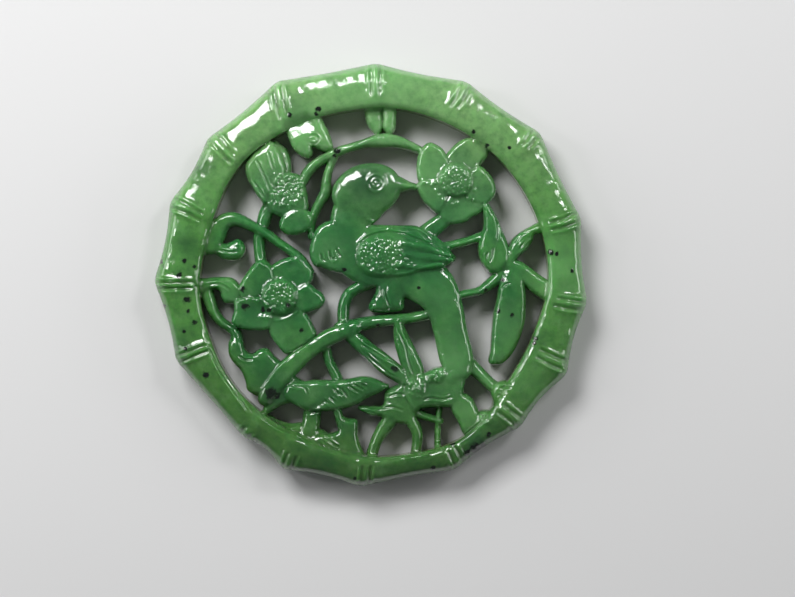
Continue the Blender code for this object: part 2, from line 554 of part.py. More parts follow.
def net(forms):
    """The closed surface: front, back and the walls between them, as points and triangles."""
    spots, faces, _ = triangulate(*plan(forms), merge)
    keep = without_pinches(faces, inside_any(spots[faces].mean(axis=1), forms))
    faces = faces[keep]
    rim = borders(faces)
    rim_points = sorted({edge[0] for edge in rim})
    place = {point: k for k, point in enumerate(rim_points)}

    rows, row_edges = back_rows(forms, spots[rim_points])
    back_points = np.vstack([spots[rim_points], rows])
    back_edges = [(place[a], place[b]) for a, b in rim]
    back_edges += [(a + len(rim_points), b + len(rim_points)) for a, b in row_edges]
    back_spots, back_faces, origin = triangulate(back_points, back_edges, 0)
    back_faces = back_faces[inside_rim(back_spots[back_faces].mean(axis=1), spots, rim)]
    index_of = {source[0]: k for k, source in enumerate(origin) if source}

    front = np.column_stack([spots, front_height(spots, forms)])
    back = np.column_stack([back_spots, back_height(back_spots)])
    offset = len(front)
    walls = []
    for a, b in rim:
        below_a, below_b = offset + index_of[place[a]], offset + index_of[place[b]]
        walls += [(b, a, below_a), (b, below_a, below_b)]
    triangles = np.vstack([faces, back_faces[:, ::-1] + offset, walls])
    return np.vstack([front, back]), triangles


def inside_rim(places, spots, rim):
    """Whether a line to the right from each place crosses the rim an odd number of times."""
    start, end = (spots[[edge[k] for edge in rim]] for k in (0, 1))
    x, y = places[:, 0, None], places[:, 1, None]
    spans = (start[:, 1] <= y) != (end[:, 1] <= y)
    height = np.where(end[:, 1] == start[:, 1], 1, end[:, 1] - start[:, 1])
    crossing = start[:, 0] + (y - start[:, 1]) / height * (end[:, 0] - start[:, 0])
    return (spans & (crossing > x)).sum(axis=1) % 2 == 1


def jade():
    material = bpy.data.materials.new("jade")
    material.use_nodes = True
    surface = material.node_tree.nodes["Principled BSDF"]
    surface.inputs["Base Color"].default_value = JADE
    surface.inputs["Roughness"].default_value = jade_roughness
    surface.inputs["Metallic"].default_value = 0.0
    return material


def pendant():
    """The carved plaque, centred over its own outline and resting on the ring's flat back."""
    points, triangles = net([ring()] + motifs())
    used, triangles = np.unique(triangles, return_inverse=True)
    points, triangles = points[used], triangles.reshape(-1, 3)
    points[:, :2] -= (points[:, :2].max(axis=0) + points[:, :2].min(axis=0)) / 2
    mesh = bpy.data.meshes.new("pendant")
    mesh.from_pydata((points * MM).tolist(), [], triangles.tolist())
    shape = bmesh.new()
    shape.from_mesh(mesh)
    bmesh.ops.recalc_face_normals(shape, faces=shape.faces)
    shape.to_mesh(mesh)
    shape.free()
    mesh.shade_smooth()
    mesh.set_sharp_from_angle(angle=smooth_under)
    mesh.materials.append(jade())
    plaque = bpy.data.objects.new("pendant", mesh)
    bpy.context.scene.collection.objects.link(plaque)
    return plaque


def main():
    for old in list(bpy.data.objects):
        bpy.data.objects.remove(old)
    pendant()


main()
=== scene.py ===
"""Openwork jade pendant on a pale table: the carving, the stone, the lights and the camera.

The carving is one closed surface. Its front is a height over the drawing's plane, worked out as whole
arrays: at each spot the highest of the motifs' rounded forms, less what the engraved lines cut away,
plus stippling, scales and the slight waves of hand polishing. Vertical walls join it to a plainer back.
The drawing is measured in hundredths of the opening's radius, from its centre, right and up.
"""

import math

import bpy
import numpy as np
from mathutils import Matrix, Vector
from mathutils.geometry import delaunay_2d_cdt


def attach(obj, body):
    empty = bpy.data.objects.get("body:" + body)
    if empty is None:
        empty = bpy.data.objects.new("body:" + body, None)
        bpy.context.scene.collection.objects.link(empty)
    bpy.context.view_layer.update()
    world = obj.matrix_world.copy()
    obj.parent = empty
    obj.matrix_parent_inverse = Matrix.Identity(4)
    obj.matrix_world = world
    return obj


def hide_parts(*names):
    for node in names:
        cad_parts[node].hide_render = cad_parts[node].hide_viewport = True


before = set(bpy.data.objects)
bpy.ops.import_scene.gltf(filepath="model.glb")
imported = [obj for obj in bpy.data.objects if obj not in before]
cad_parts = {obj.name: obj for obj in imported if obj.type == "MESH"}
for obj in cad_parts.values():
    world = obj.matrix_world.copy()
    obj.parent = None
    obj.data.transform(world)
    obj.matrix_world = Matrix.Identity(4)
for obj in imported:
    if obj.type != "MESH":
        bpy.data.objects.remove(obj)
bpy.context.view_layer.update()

MM = 0.001

# Sizes in millimetres, as in the solid
ring_diameter = 55.4
opening_diameter = 43.6
ring_thickness = 5.4
ring_waist = 0.95
waist_power = 0.8
waist_ease = 0.08  # how softly the waist sets in beside a joint
outer_round = 2.6
outer_fall = 2.1
outer_slope = 0.85  # the part of that fall that is a broad dome
outer_edge = 0.9  # the width of the tight edge below it
outer_power = 1.4  # the powers by which the ring's dome, every tight edge and the inner edge fall
edge_power = 2.2
inner_power = 2.4
inner_round = 0.9
inner_fall = 0.7
back_round = 1.1
back_fall = 1.3
joint_rise = 0.18
joint_corner = 0.7  # half the length over which the outline's corner at a joint is rounded
joint_spread = 1.9
back_recess = 0.5
recess_run = 0.35
rim_ease = 0.22  # how far the back is eased in at each rim, and over what width
rim_ease_width = 0.3
cliff = 10  # how steeply a form's height falls away outside its outline

# How finely the surface is cut: distances in millimetres, and turns in radians
edge_step = 0.17
spine_step = 0.255
field_step = 0.17
coarse_step = 0.3
edge_reach = 0.35  # how far from an outline the fine field goes at the least
field_turn = 0.3
field_lap = 0.1  # how far the field goes past the ring's inner edge
field_margin = 1.2
ring_step = 0.42
ring_rows = 22
groove_step = 0.2
back_step = 0.45
back_turn = 0.1
back_stations = 340
merge = 0.012
curve_steps = 16
oval_points = 24
cap_turn = 78  # how far round a form's end its outline's points go, in degrees
cap_points = 7
form_margin = 0.2
settle_rounds = 2

# Rows and rings of the surface's points, in millimetres: inside an outline and at the back's rims,
# round a bump's middle, round a fleck's and round the eye's
BESIDE_EDGE = (0.05, 0.14)
beside_rim = 0.22
BUMP_RINGS = (0.12, 0.25)
FLECK_RINGS = (0.12, 0.24, 0.38, 0.54)
fleck_turn = 0.785  # between the points of a fleck's ring, in radians
eye_step = 0.09
eye_reach = 1.5
eye_stations = 48

# Rows on the back's rounded edge, in its widths, and on the walls, as shares of their height from the top
BACK_ROWS = (0.02, 0.1, 0.25, 0.5, 0.75, 1.0)
WALL_ROWS = (0.07, 0.5, 0.93)

# The room that each kind of point leaves round the points before it, in millimetres
GAPS = {
    "features": 0.08, "beside": 0.05, "rows": 0.16, "field": 0.1,
    "back beside": 0.2, "back rows": 0.14, "back field": 0.3,
}

# An outline shows where, at one of these distances inside it, no other form is higher by more than this
SHOWN_AT = (0, 0.12, 0.3)
hidden_by = 0.25

# Grids: the rows' distance in pitches, the largest move of a scattered point, and the cells' numbering
row_share = 0.866
jitter = 0.3
cell_share = 0.7
cell_origin = 40
cell_stride = 100000

# Bamboo joints round the ring: clock angle in degrees, and share of the ring's radius
BAMBOO_JOINTS = (
    (1.2, 0.987), (26.1, 1.005), (49.8, 1.028), (75.1, 1.012),
    (97.3, 1.014), (117.0, 1.022), (135.4, 0.992), (156.8, 0.987),
    (183.1, 0.988), (204.6, 0.998), (217.9, 0.965), (246.5, 0.995),
    (268.4, 1.015), (290.0, 1.0), (309.7, 0.996), (333.9, 1.005),
)

# The ring's inner edge: degrees from the right, counterclockwise, and radius in drawing units
OPENING_EDGE = (
    (0, 104.5), (22, 103), (45, 101.5), (68, 99.6), (90, 98.6), (118, 98.8),
    (145, 100.8), (180, 101.3), (205, 102.8), (225, 104.3), (248, 104.8),
    (270, 107.5), (294, 110), (308, 107.5), (321, 102.6), (340, 101.8),
)

# Stems, tendrils and the long forms: level, then (right, up, half width) along the middle
STRANDS = {
    "arch": (0.80, [
        (-41, 55, 2.8), (-38, 61, 3.2), (-32, 66.8, 3), (-20, 73, 3), (-12, 75.8, 2.6), (-4, 78, 2.8),
        (4, 79.5, 4.2), (12, 79.5, 4.2), (20, 77.5, 3.2), (31, 73, 2.2),
    ]),
    "upper twig": (0.74, [
        (-21, 73, 2.6), (-25, 64, 2.6), (-26.8, 56, 2.9), (-27.5, 49, 3.5), (-31, 43, 3), (-34, 37, 2.8),
        (-35.6, 31, 2.4), (-36, 23, 2.2),
    ]),
    "bud stem": (0.70, [
        (-60, 43, 3.8), (-63, 36, 4.2), (-65, 29, 3.8), (-66.8, 22, 3.6), (-65.6, 4, 3.6),
    ]),
    "left tendril": (0.80, [
        (-95, 18, 6), (-91.5, 26, 5.8), (-88, 31, 5), (-83, 33, 4.5), (-77.5, 32, 3.9), (-71, 29, 3.3),
        (-62, 24.2, 3), (-55, 19, 2.8), (-48, 14.2, 2.8), (-42, 9.5, 2.7), (-36, 2, 2),
    ]),
    "low tendril": (0.74, [
        (-99, -6, 4), (-96, -16, 3.7), (-93, -23, 3.2), (-89, -28, 3), (-84.5, -31, 3), (-81, -34, 3.4),
        (-80, -39, 3.8), (-80.5, -46, 4.2),
    ]),
    "main branch": (0.84, [
        (-63, -73, 4.6), (-59, -67, 5.8), (-53, -59, 6.3), (-46, -52, 6), (-39, -46.3, 5), (-31, -40.5, 5),
        (-24, -36.5, 5.2), (-10, -31, 4.5),
    ]),
    "shoot": (0.82, [
        (-46, -69.5, 6.3), (-40, -71, 8.4), (-34, -71.5, 9.4), (-23, -71.4, 9.2), (-13, -69.6, 8.3),
        (-4.5, -66.6, 6.8), (2.5, -66.1, 4.6), (6.5, -66, 2.6), (9.2, -65.8, 1.2),
    ]),
    "middle twig": (0.66, [
        (-27, -41, 3), (-26, -49, 3.1), (-23.5, -55, 3.2), (-19, -64, 3.4),
    ]),
    "bamboo stick": (0.80, [
        (-16, -32, 4.5), (-8, -39.5, 4.8), (0, -46.5, 5.2), (8, -53, 5.6), (20, -62, 4.4),
    ]),
    "perch": (0.76, [
        (-18, -32, 5), (-9, -30, 4.4), (0, -28, 3.8), (8, -27, 3.8), (16, -26.3, 3.6), (24, -25.5, 3.3),
        (36, -23, 3.4),
    ]),
    "hook": (0.74, [
        (-16.8, -30, 3.6), (-16.6, -19, 3.7), (-14, -12, 3.6), (-9, -8.2, 3.6), (0, -4, 4),
    ]),
    "flower stem": (0.78, [
        (28, 21, 6), (36, 27.5, 5.4), (43, 33, 5), (49, 40, 5),
    ]),
    "leaf stem": (0.74, [
        (32, 15, 4), (45, 17, 3), (52, 18.8, 2.8), (58, 20.3, 2.8), (68, 24, 3),
    ]),
    "crossing stem": (0.78, [
        (48, -13, 2.8), (57, -11, 2.6), (64, -9.5, 2.8), (70, -5.5, 3.4), (76, -0.5, 3.8), (83, 6, 4.2),
    ]),
    "ring stem": (0.82, [
        (78, 8, 4), (86, 4, 4.8), (92, -0.5, 5.2), (98, -5.5, 5.6), (108, -12, 6),
    ]),
    "tail twig": (0.72, [
        (57, -52, 4.8), (64, -58.5, 3.9), (70, -64.3, 3.7), (76, -69, 4.5), (86, -76, 5),
    ]),
    "blade leaf": (0.78, [
        (15.2, -26, 2.6), (17.5, -37, 4.6), (20.8, -46, 5.8), (24.6, -55, 6.2), (28, -64, 5),
    ]),
    "fan left": (0.70, [
        (14, -82, 5), (8, -90, 4.5), (3, -98, 3.6), (-1, -110, 3.5),
    ]),
    "fan right": (0.74, [
        (21, -83, 4), (26.5, -92, 3.6), (27, -99, 3.2), (25, -111, 3),
    ]),
    "strut": (0.68, [
        (-35, -76, 5.5), (-36, -88, 5.5), (-39, -102, 6),
    ]),
    "stalk": (0.74, [
        (-21, -79, 2.8), (-18, -88, 2.8), (-14, -98, 3),
    ]),
    "thin twig": (0.66, [
        (41, -74, 2.2), (39.5, -86, 2), (39, -108, 2.2),
    ]),
    "small bar": (0.68, [
        (24, -81, 3), (32, -84, 2.6), (41, -87, 2),
    ]),
    "breast": (0.88, [
        (-6, 44, 15), (-12, 33, 12.5), (-12, 22, 13), (-9, 12, 14), (0, 4, 12),
    ]),
    "back": (0.90, [
        (-4, 18, 12), (14, 17, 12.5), (26, 15.5, 13.5), (36, 15, 8), (47, 10, 3),
    ]),
    "body and tail": (0.92, [
        (2, 8, 14), (14, 4, 15), (26, 0, 15), (37, -8, 13.5), (43.2, -19, 11), (46.2, -31, 10.1),
        (48.4, -41, 10.1), (50.4, -49.5, 10.1), (51.5, -55, 8.3),
    ]),
    "upper feather": (1.04, [
        (19, 18.8, 2), (33, 15.6, 2.3), (46, 11.6, 1.4),
    ]),
    "middle feather": (1.04, [
        (18, 12.6, 2), (33, 10.4, 2.3), (47, 8.8, 1.4),
    ]),
    "lower feather": (1.04, [
        (15, 6, 2), (29, 5, 2.3), (42, 6, 1.3),
    ]),
    "beak": (0.86, [
        (6, 55, 8), (17, 53.2, 4.8), (23, 52.6, 2.6), (29, 52, 1.6),
    ]),
}

# Leaves, petals and lobes: level, then the outline's points, right and up
PATCHES = {
    "neck left": (0.72, [
        (-4, 102), (-3.6, 92), (-1, 86.5), (3, 83), (6.5, 86), (6.6, 92), (6, 103),
    ]),
    "neck right": (0.80, [
        (6.4, 103), (6.6, 92), (6.6, 87), (10, 83), (13.5, 85), (14.6, 90), (14, 103),
    ]),
    "curled leaf": (0.88, [
        (-51, 87), (-49, 80), (-46, 74), (-41, 70), (-37, 69.4), (-35, 72), (-34.8, 75.6), (-31, 74.3),
        (-28, 73), (-23, 74.5), (-23.6, 80), (-27, 88), (-34, 98), (-46, 97),
    ]),
    "bud leaf": (0.88, [
        (-75, 65), (-71.5, 70.5), (-65, 76), (-60, 79.5), (-55.5, 76), (-52.5, 70), (-50.5, 63), (-52, 57),
        (-58, 50), (-63, 42), (-67, 45.5), (-71, 52), (-74, 58),
    ]),
    "bud back leaf": (0.72, [
        (-58, 79), (-54, 77.8), (-50, 74.2), (-47.9, 68), (-47.8, 60), (-52, 56), (-60, 62),
    ]),
    "calyx": (0.84, [
        (-61, 58), (-53, 61), (-44, 60), (-40, 56), (-38.5, 50), (-37.5, 44), (-38, 38), (-45, 34),
        (-52, 34), (-57, 35.5), (-61, 39), (-64, 45), (-63, 53),
    ]),
    "left lobe": (0.76, [
        (-101, 22), (-92, 22.5), (-88, 19), (-84, 19.5), (-79, 21.5), (-75.3, 18), (-75, 14), (-77.5, 10),
        (-82, 8.3), (-88.5, 9.4), (-93, 12), (-102, 12),
    ]),
    "comma leaf": (0.80, [
        (-105, -3), (-96, -1.5), (-89, -1), (-83, -1.6), (-78.8, -5), (-77, -10), (-77.4, -14.6),
        (-80.5, -17), (-87, -16.6), (-89.3, -13), (-90.3, -9.5), (-95, -9), (-105, -12),
    ]),
    "curl": (0.78, [
        (-84, -38), (-85, -46), (-82, -52), (-77.5, -57), (-75, -63), (-73, -69), (-64, -72), (-56, -62),
        (-53, -53), (-57, -48.5), (-62, -43.5), (-67, -44), (-71, -46.5), (-75, -44), (-77, -38),
    ]),
    "foot": (0.72, [
        (-69, -65), (-65, -73), (-64.6, -79), (-69, -86), (-67, -91), (-62.5, -83.8), (-59, -81),
        (-55, -78.4), (-50, -76.6), (-44, -76.5), (-38, -79), (-30, -82), (-26, -74), (-32, -66),
        (-42, -62), (-50, -57), (-60, -57),
    ]),
    "low web": (0.62, [
        (-67, -85), (-60, -83.4), (-55.8, -85.8), (-49, -87.9), (-40.6, -87.6), (-33, -90), (-26, -93.5),
        (-20, -98), (-14, -106), (-20, -114), (-45, -106), (-66, -92),
    ]),
    "tick lobe": (0.82, [
        (-31, 29.5), (-35, 23), (-37, 14), (-34.5, 6), (-29, 4), (-22, 1.5), (-12, 1), (-6, 8), (-12, 22),
        (-22, 32),
    ]),
    "leg": (0.92, [
        (3, -4), (2.4, -9.4), (-0.1, -14.8), (-1.8, -18.2), (-1, -21.3), (3.2, -22.2), (9.9, -22.1),
        (16.7, -21.4), (19.2, -19.6), (19.4, -15.8), (21.7, -11.9), (26.7, -14.8), (30.1, -19), (38, -16),
        (32, 0), (14, 4),
    ]),
    "wing": (1.0, [
        (-9, 14), (-6, 18.5), (0, 22), (8, 24), (16, 23), (24, 20.5), (32, 17.5), (40, 14.5), (47, 12),
        (47.5, 8), (44, 5.5), (38, 4.5), (30, 2), (22, -0.8), (12, -2), (2, -1.5), (-5, 1.5), (-9, 7),
    ]),
    "drop leaf": (0.88, [
        (68, 44), (71, 40), (74.5, 34), (77, 28), (79.5, 22), (81.5, 15), (80.5, 8), (77, 2.5), (71, 1),
        (66.5, 5), (64, 10), (63, 17), (65, 24), (66.3, 31), (65.5, 38), (65, 42),
    ]),
    "grooved leaf": (0.84, [
        (80.5, 15), (83.5, 21.5), (88, 25.5), (93, 28.5), (103, 32.5), (106, 26), (97, 24), (95.3, 20),
        (92, 15), (88, 11.5), (84, 7), (79, 6),
    ]),
    "long leaf": (0.84, [
        (80, 4), (76, -3), (74, -14), (72, -24), (71, -34), (70.4, -44), (69.5, -52), (76, -53),
        (81, -49.5), (85, -44), (88.5, -36), (91, -27), (91.5, -18), (91, -7), (87, 2),
    ]),
    "bead cluster": (0.84, [
        (20, -63), (24, -59.5), (31, -58), (37, -55), (43, -54), (50, -56), (56, -58), (55, -66), (54, -71),
        (48, -78), (40, -78.5), (30, -79), (25, -82), (21, -76), (19, -70),
    ]),
    "fan leaf": (0.74, [
        (8, -69), (13, -66), (20, -64), (24, -70), (27, -78), (26, -85), (20, -89), (12, -87), (4, -84),
        (-1, -83.5), (-8, -79.5), (-7, -77.5), (0, -77.6), (6.5, -77),
    ]),
    "low mass": (0.74, [
        (-22, -79), (-15, -84.5), (-8.5, -86), (-8, -95), (-6, -102), (-3, -112), (-22, -114), (-42, -104),
        (-34, -95), (-27, -94), (-20.5, -92.5), (-21, -88),
    ]),
    "round leaf": (0.82, [
        (46, -74), (53, -69.5), (59, -72.5), (62.5, -78), (64.5, -85), (62, -95), (55, -95), (51, -87),
        (47.5, -81),
    ]),
    "ring leaf": (0.86, [
        (73.5, -64), (70.5, -69), (71.8, -75), (70, -79.5), (64, -81), (60, -90), (70, -94), (82, -86),
        (88, -74), (82, -63),
    ]),
}

# Blossoms: middle, radius of the stamen dome, and the outlines of the petals
BLOSSOMS = {
    "left blossom": ((-54.5, -13), 10.8, [
        [(-77.5, -4), (-73.5, 2), (-70, 6.5), (-66, 9), (-61, 7.5), (-58, 2), (-58, -8), (-66, -13),
         (-76, -14), (-79, -9)],
        [(-60, 4), (-56, 8), (-50, 10.5), (-45, 11), (-39.5, 8), (-36, 3.5), (-34.5, -1), (-37, -6),
         (-46, -10), (-56, -6)],
        [(-46, -9), (-38, -4.5), (-33, -8), (-29, -11), (-27.3, -15), (-29.5, -18.7), (-33, -20.7),
         (-39, -22.5), (-46, -19)],
        [(-60, -22), (-46, -18), (-39, -22), (-35, -29), (-33, -36), (-42, -43), (-50, -47), (-55, -43),
         (-60, -36), (-62, -29)],
        [(-81, -15), (-74, -12.5), (-62, -13), (-58, -22), (-60, -31), (-64, -33), (-70, -33), (-75, -32.5),
         (-81, -30.5), (-83, -27), (-81.5, -21)],
    ]),
    "right blossom": ((49.5, 56), 10.3, [
        [(28, 55), (26.4, 63), (27.4, 71), (30, 76), (34, 78.5), (38, 77.5), (43, 73.5), (46, 66), (44, 55),
         (34, 52)],
        [(44, 70), (48, 76), (53, 80), (58, 81.5), (63.5, 79.5), (69, 75.5), (69, 71), (66, 66.5), (60, 61),
         (48, 60)],
        [(54, 61), (60, 63), (64, 64.7), (68, 62), (72, 57), (73.7, 52), (73, 47), (70.5, 43.5),
         (66.5, 41.5), (60, 43), (53, 50)],
        [(43, 47), (56, 48), (64, 46), (66.5, 41), (65, 37), (60, 34.5), (56, 31.5), (50, 30), (45, 30),
         (41, 33), (39, 38), (40, 43)],
        [(26.5, 52), (28, 55.5), (34, 57), (42, 56), (46, 50), (44, 42), (41, 37), (38, 36.5), (34, 40),
         (31, 43), (28.5, 47)],
    ]),
}
petal_level = 0.84
stamen_level = 0.97

# Round forms: level, middle, the two radii and the turn in degrees
ROUNDS = {
    "head": (0.95, (-3, 50), (21, 15.8), 16),
    "berry": (0.88, (-44.5, 31.5), (10.6, 7.8), 18),
}

# Rows of beads on the bud and on the bead cluster: the first and last place of each
BUD_ROWS = (
    ((-57, 59), (-43, 57.5)), ((-56.5, 54.5), (-41, 52)), ((-61, 49), (-41, 46.5)), ((-62.5, 43), (-52, 41)),
)
CLUSTER_ROWS = (
    ((33.5, -57.6), (39.5, -57.4)), ((29.8, -61.4), (41.8, -60.4)), ((22.8, -65), (30.4, -66.4)),
)
row_zigzag = 0.35  # how far a row's points lie above or below it, in pitches

# How each kind of form is rounded: width and fall of its dome, then of its edge, in millimetres
ROUNDING = {
    "stem": (0.8, 0.35, 0.42, 0.75),
    "leaf": (1.3, 0.2, 0.4, 0.95),
    "petal": (1.2, -0.12, 0.38, 1.1),
    "stamen": (1.5, 0.25, 0.35, 0.55),
    "bird": (2.6, 0.7, 0.5, 0.7),
    "wing": (1.5, 0.3, 0.35, 0.4),
    "feather": (0.4, 0.2, 0.3, 0.3),
}
BIRD = ("breast", "back", "body and tail", "head", "beak", "leg")
FEATHERS = ("upper feather", "middle feather", "lower feather")

# Engraved lines: half width and depth in millimetres, then the lines, right and up
ENGRAVED = (
    (0.27, 0.2, (
        [(-0.4, 127), (-0.2, 116), (-0.4, 105)], [(5.2, 127), (5, 116), (4.8, 105)],
        [(-59, 116), (-56.5, 103), (-53.5, 91)], [(-53.5, 113), (-51.5, 103), (-49, 94)],
        [(-96, 88), (-88, 79), (-80.5, 70)], [(-99, 83), (-90, 73.5), (-81.5, 65)],
        [(-118, 46), (-108, 41), (-99, 35.5)], [(-120, 40.5), (-109, 36.5), (-100, 32)],
        [(-129, -4.2), (-116, -4.6), (-104, -4.4)], [(-129, -8), (-116, -7.9), (-105, -7.6)],
        [(-117, -48.5), (-106, -44.6), (-97, -41.2)], [(-115.5, -52.5), (-105, -48), (-96, -44.6)],
        [(109, -13.6), (118, -15), (127.5, -16.4)], [(107, -17.6), (115, -19.6), (126.5, -21)],
        [(105, 26.5), (114, 28.4), (125, 32.5)], [(104.5, 30.5), (113, 33), (122.5, 37.4)],
        [(92, 74), (97, 80), (102.5, 86)], [(88, 76), (93, 82.5), (98, 89)],
        [(46, 99), (50.5, 106), (55, 115)], [(50, 97.5), (54.5, 104), (59, 112.5)],
        [(-74, -89), (-80, -96), (-84, -101)], [(-70, -93), (-76, -100), (-79.5, -105)],
        [(-49, -104), (-52, -112), (-54, -119)], [(-44, -106), (-47, -114), (-49.5, -121)],
        [(-5, -112), (-6, -120), (-6.6, -128)], [(-0.5, -112), (-1.2, -120), (-1.6, -127.5)],
        [(45, -103), (48, -110), (51, -117)], [(49, -100.5), (52.5, -107), (56, -114)],
        [(74, -80), (81, -85.5), (87, -91)], [(77.5, -76), (84.5, -81.5), (91, -86.5)],
        [(97, -48), (105, -52.5), (113, -56)], [(99, -43.5), (107, -47.6), (115.5, -51)],
    )),
    (0.19, 0.19, (
        [(-30, 13), (-29, 9), (-27, 8.5)], [(-25, 15), (-23.5, 9.5), (-21, 10.5)], [(-21, 16), (-18, 10)],
    )),
    (0.17, 0.12, (
        [(-96, -43), (-90, -55), (-82, -67), (-75, -77), (-72, -81)],
        [(-66, -82), (-58, -88), (-50, -92), (-45, -92)],
        [(17, -107), (25, -106), (31, -104.5), (38, -100), (48, -99), (55, -95), (62, -89), (67, -86)],
        [(-31, -99), (-27, -102.5), (-20, -105)], [(-29, -95), (-24, -99), (-19, -102)],
        [(75, -66.5), (79, -66), (83, -66.5)], [(74, -71.5), (78, -71)], [(64, -82), (66, -85)],
        [(-25, -72), (-23, -73.8), (-21, -75)], [(-20, -68.5), (-18, -70.4), (-16.5, -71.5)],
        [(-18, -67), (-16, -69.5), (-14, -72.5)], [(-14, -65), (-10.5, -67.6), (-7, -69.5)],
        [(-11, -64), (-8, -66), (-4.5, -67.6)],
        [(-4, -46), (0, -50), (5, -54), (10, -58), (14, -60)],
        [(-6, -41), (0, -44.5), (8, -49), (12, -51), (16, -53), (18, -56)],
        [(16, -33), (20, -42), (22, -51), (25, -59)],
        [(84, 18), (87, 21.8), (90, 25)], [(87, 15), (89, 17.6), (91, 20)],
        [(90, 16), (92.6, 18.6), (95, 21)], [(72, 17), (71.4, 12), (70, 7)], [(73, 36), (74.6, 28), (74, 20)],
        [(-79, -47.5), (-75, -50), (-70, -50)],
        [(76, -9), (79, -5.6), (83, -5)],
        [(-37, 78), (-33, 77.6), (-31.4, 80), (-33.4, 82.6), (-37, 82)],
        [(-68, 68), (-64, 60), (-60, 50)], [(-61, 73), (-59, 66), (-57.6, 62)],
        [(-91, 15), (-84, 13.6), (-79, 14)], [(-96, -5.6), (-89, -5.4), (-83.6, -9)],
        [(30, -74), (35, -72.6), (42, -73.4), (48, -72)],
        [(6, -79), (12, -78), (19, -80)], [(10, -72), (15, -70.4), (20, -71)],
        [(-8, 17), (-2, 22.6), (8, 25.4), (18, 24.4), (27, 21.4), (36, 17.6)],
        [(20, 27.5), (27, 26), (33, 22)],
        [(2, -8), (0.6, -13), (2.4, -18)], [(8, -8), (9, -14), (11, -19)],
        [(-5, -79.6), (-1, -81), (3, -82)], [(-50, -64.4), (-44, -66), (-40, -66.3)],
        [(-40, -66.3), (-38.4, -68.4), (-37.8, -71)], [(-37, -82.2), (-33, -81), (-29.5, -80.2)],
        [(-23, -66.8), (-20.6, -69), (-18.6, -71.8)], [(-28, -73.8), (-26, -75.4), (-24.4, -76.6)],
        [(-8.4, -63.6), (-5, -65.2), (-2, -66.4)], [(20.4, -72.6), (22, -75.4), (22.9, -78.3)],
        [(85.8, 11), (88.3, 12.3), (92.5, 16.1), (95, 20.3)], [(85.4, 20.6), (88.6, 24), (93, 26)],
        [(68.6, 14), (67.6, 9), (69.4, 5)], [(-70, 56), (-66, 50), (-63, 45)],
        [(63.5, -81.6), (63, -83.6), (64, -85)],
    )),
)

# The low lips beside each line: height as a share of its depth, then place and half width in its half widths
LIPS = (0.5, 1.75, 0.75)

# How a line fades in at its ends: over what length in millimetres, and by what power
line_taper = 0.5
taper_power = 0.6

# Rows of the surface's points on both sides of a line, in its half widths
LINE_ROWS = (0.5, 1.0, 1.38, 1.75, 2.12, 2.5)

# Raised ridges: half width and rise in millimetres, then the lines
RIDGES = (
    (0.26, 0.12, (
        [(-66.5, -69), (-60, -61), (-50, -49), (-45, -45.5), (-38, -41), (-25, -31), (-14, -26)],
        [(-19, -12), (-15, -9.5), (-10, -4)],
        [(-40, 60), (-32, 68.6), (-20, 75), (-10, 78.2), (2, 81.6)],
        [(6.6, 92), (6.2, 88), (3, 84)], [(10, 88), (13, 83.4), (22, 79.4), (30, 74.6)],
        [(-3, 33.2), (4, 30.5), (12, 27.4)],
        [(-6, 5.5), (-3, 3), (3, 1), (12, 0.3), (22, 1.4), (30, 4.2), (38, 6.4), (44, 7.6)],
        [(-59, -26.4), (-54.4, -26.6), (-50.6, -25.8), (-46.8, -23.8), (-43.6, -21)],
    )),
)

# Dark flecks in the stone: right, up and radius, all in drawing units
FLECKS = (
    (-123.8, 7.7, 1.3), (-110, 8.3, 1.4), (-104, 4.8, 1.2), (-113, 0, 2.0), (-122.6, -18.5, 1.4),
    (-108, -14.9, 2.0), (-107.7, -21.4, 1.3), (-104, -28, 1.5), (-110, -33.3, 1.2), (-109, -43.5, 1.3),
    (-97, -59, 2.0), (-75.6, -8.3, 1.9), (-74.4, -19, 2.3), (-63.7, -20.8, 1.6), (-60, -20.8, 1.5),
    (-48.8, -17.9, 1.7), (-41, -32.7, 1.2), (-31, 97.6, 1.8), (-32.2, 95, 1.2), (-41, 108, 1.3),
    (-47.6, 94, 1.5), (60.7, 84.5, 1.3), (68.5, 76.2, 1.3), (81.5, 75, 1.2), (106.5, 13, 1.9),
    (109.5, 12.5, 1.3), (118.5, 2.4, 1.2), (75.6, -21.4, 1.5), (83.3, -23.8, 1.4), (97, -37.5, 1.6),
    (96.4, -40.5, 1.2), (28, -7.7, 1.1), (1.8, -22, 1.2), (4.2, -29.8, 1.1), (-6, -12.5, 1.3),
    (-58.9, -70.2, 3.2), (-55.6, -71, 2.0), (36.9, -113.7, 1.5), (48.2, -99.4, 1.8), (-9.5, -120, 1.3),
    (61.9, -103, 3.4), (57, -105, 2.4), (66, -101, 2.2), (69, -94.6, 1.7), (-20.2, 73.2, 2.0),
    (-21.4, 70.6, 1.3), (-15.5, 3, 1.3), (15, -56, 1.6), (13, -55, 1.2), (78, -3, 1.2), (68, -9, 1.1),
)

# Paler patches, partly paler clouding in the stone and partly painted light on the ring's top and right side
# and on the curled leaf near the top: right, up, radius and strength
PALE_PATCHES_AND_PAINTED_LIGHT = (
    (48, -50, 18, 1.0), (-24, 14, 12, 0.7), (80, -30, 13, 0.7), (34, 62, 12, 0.9), (56, 30, 12, 0.5),
    (95, -66, 16, 0.5), (112, 3, 20, 1.0), (0, 115, 36, 1.1), (57, -82, 12, 0.9), (68, -62, 9, 0.9),
    (-40, 88, 15, 1.6), (-62, 66, 12, 0.6), (6, 42, 9, 0.4), (27, -66, 10, 0.5), (-60, -34, 10, 0.5),
    (40, -14, 14, 0.5), (-34, -62, 14, 0.3), (-84, -14, 9, 0.6),
)

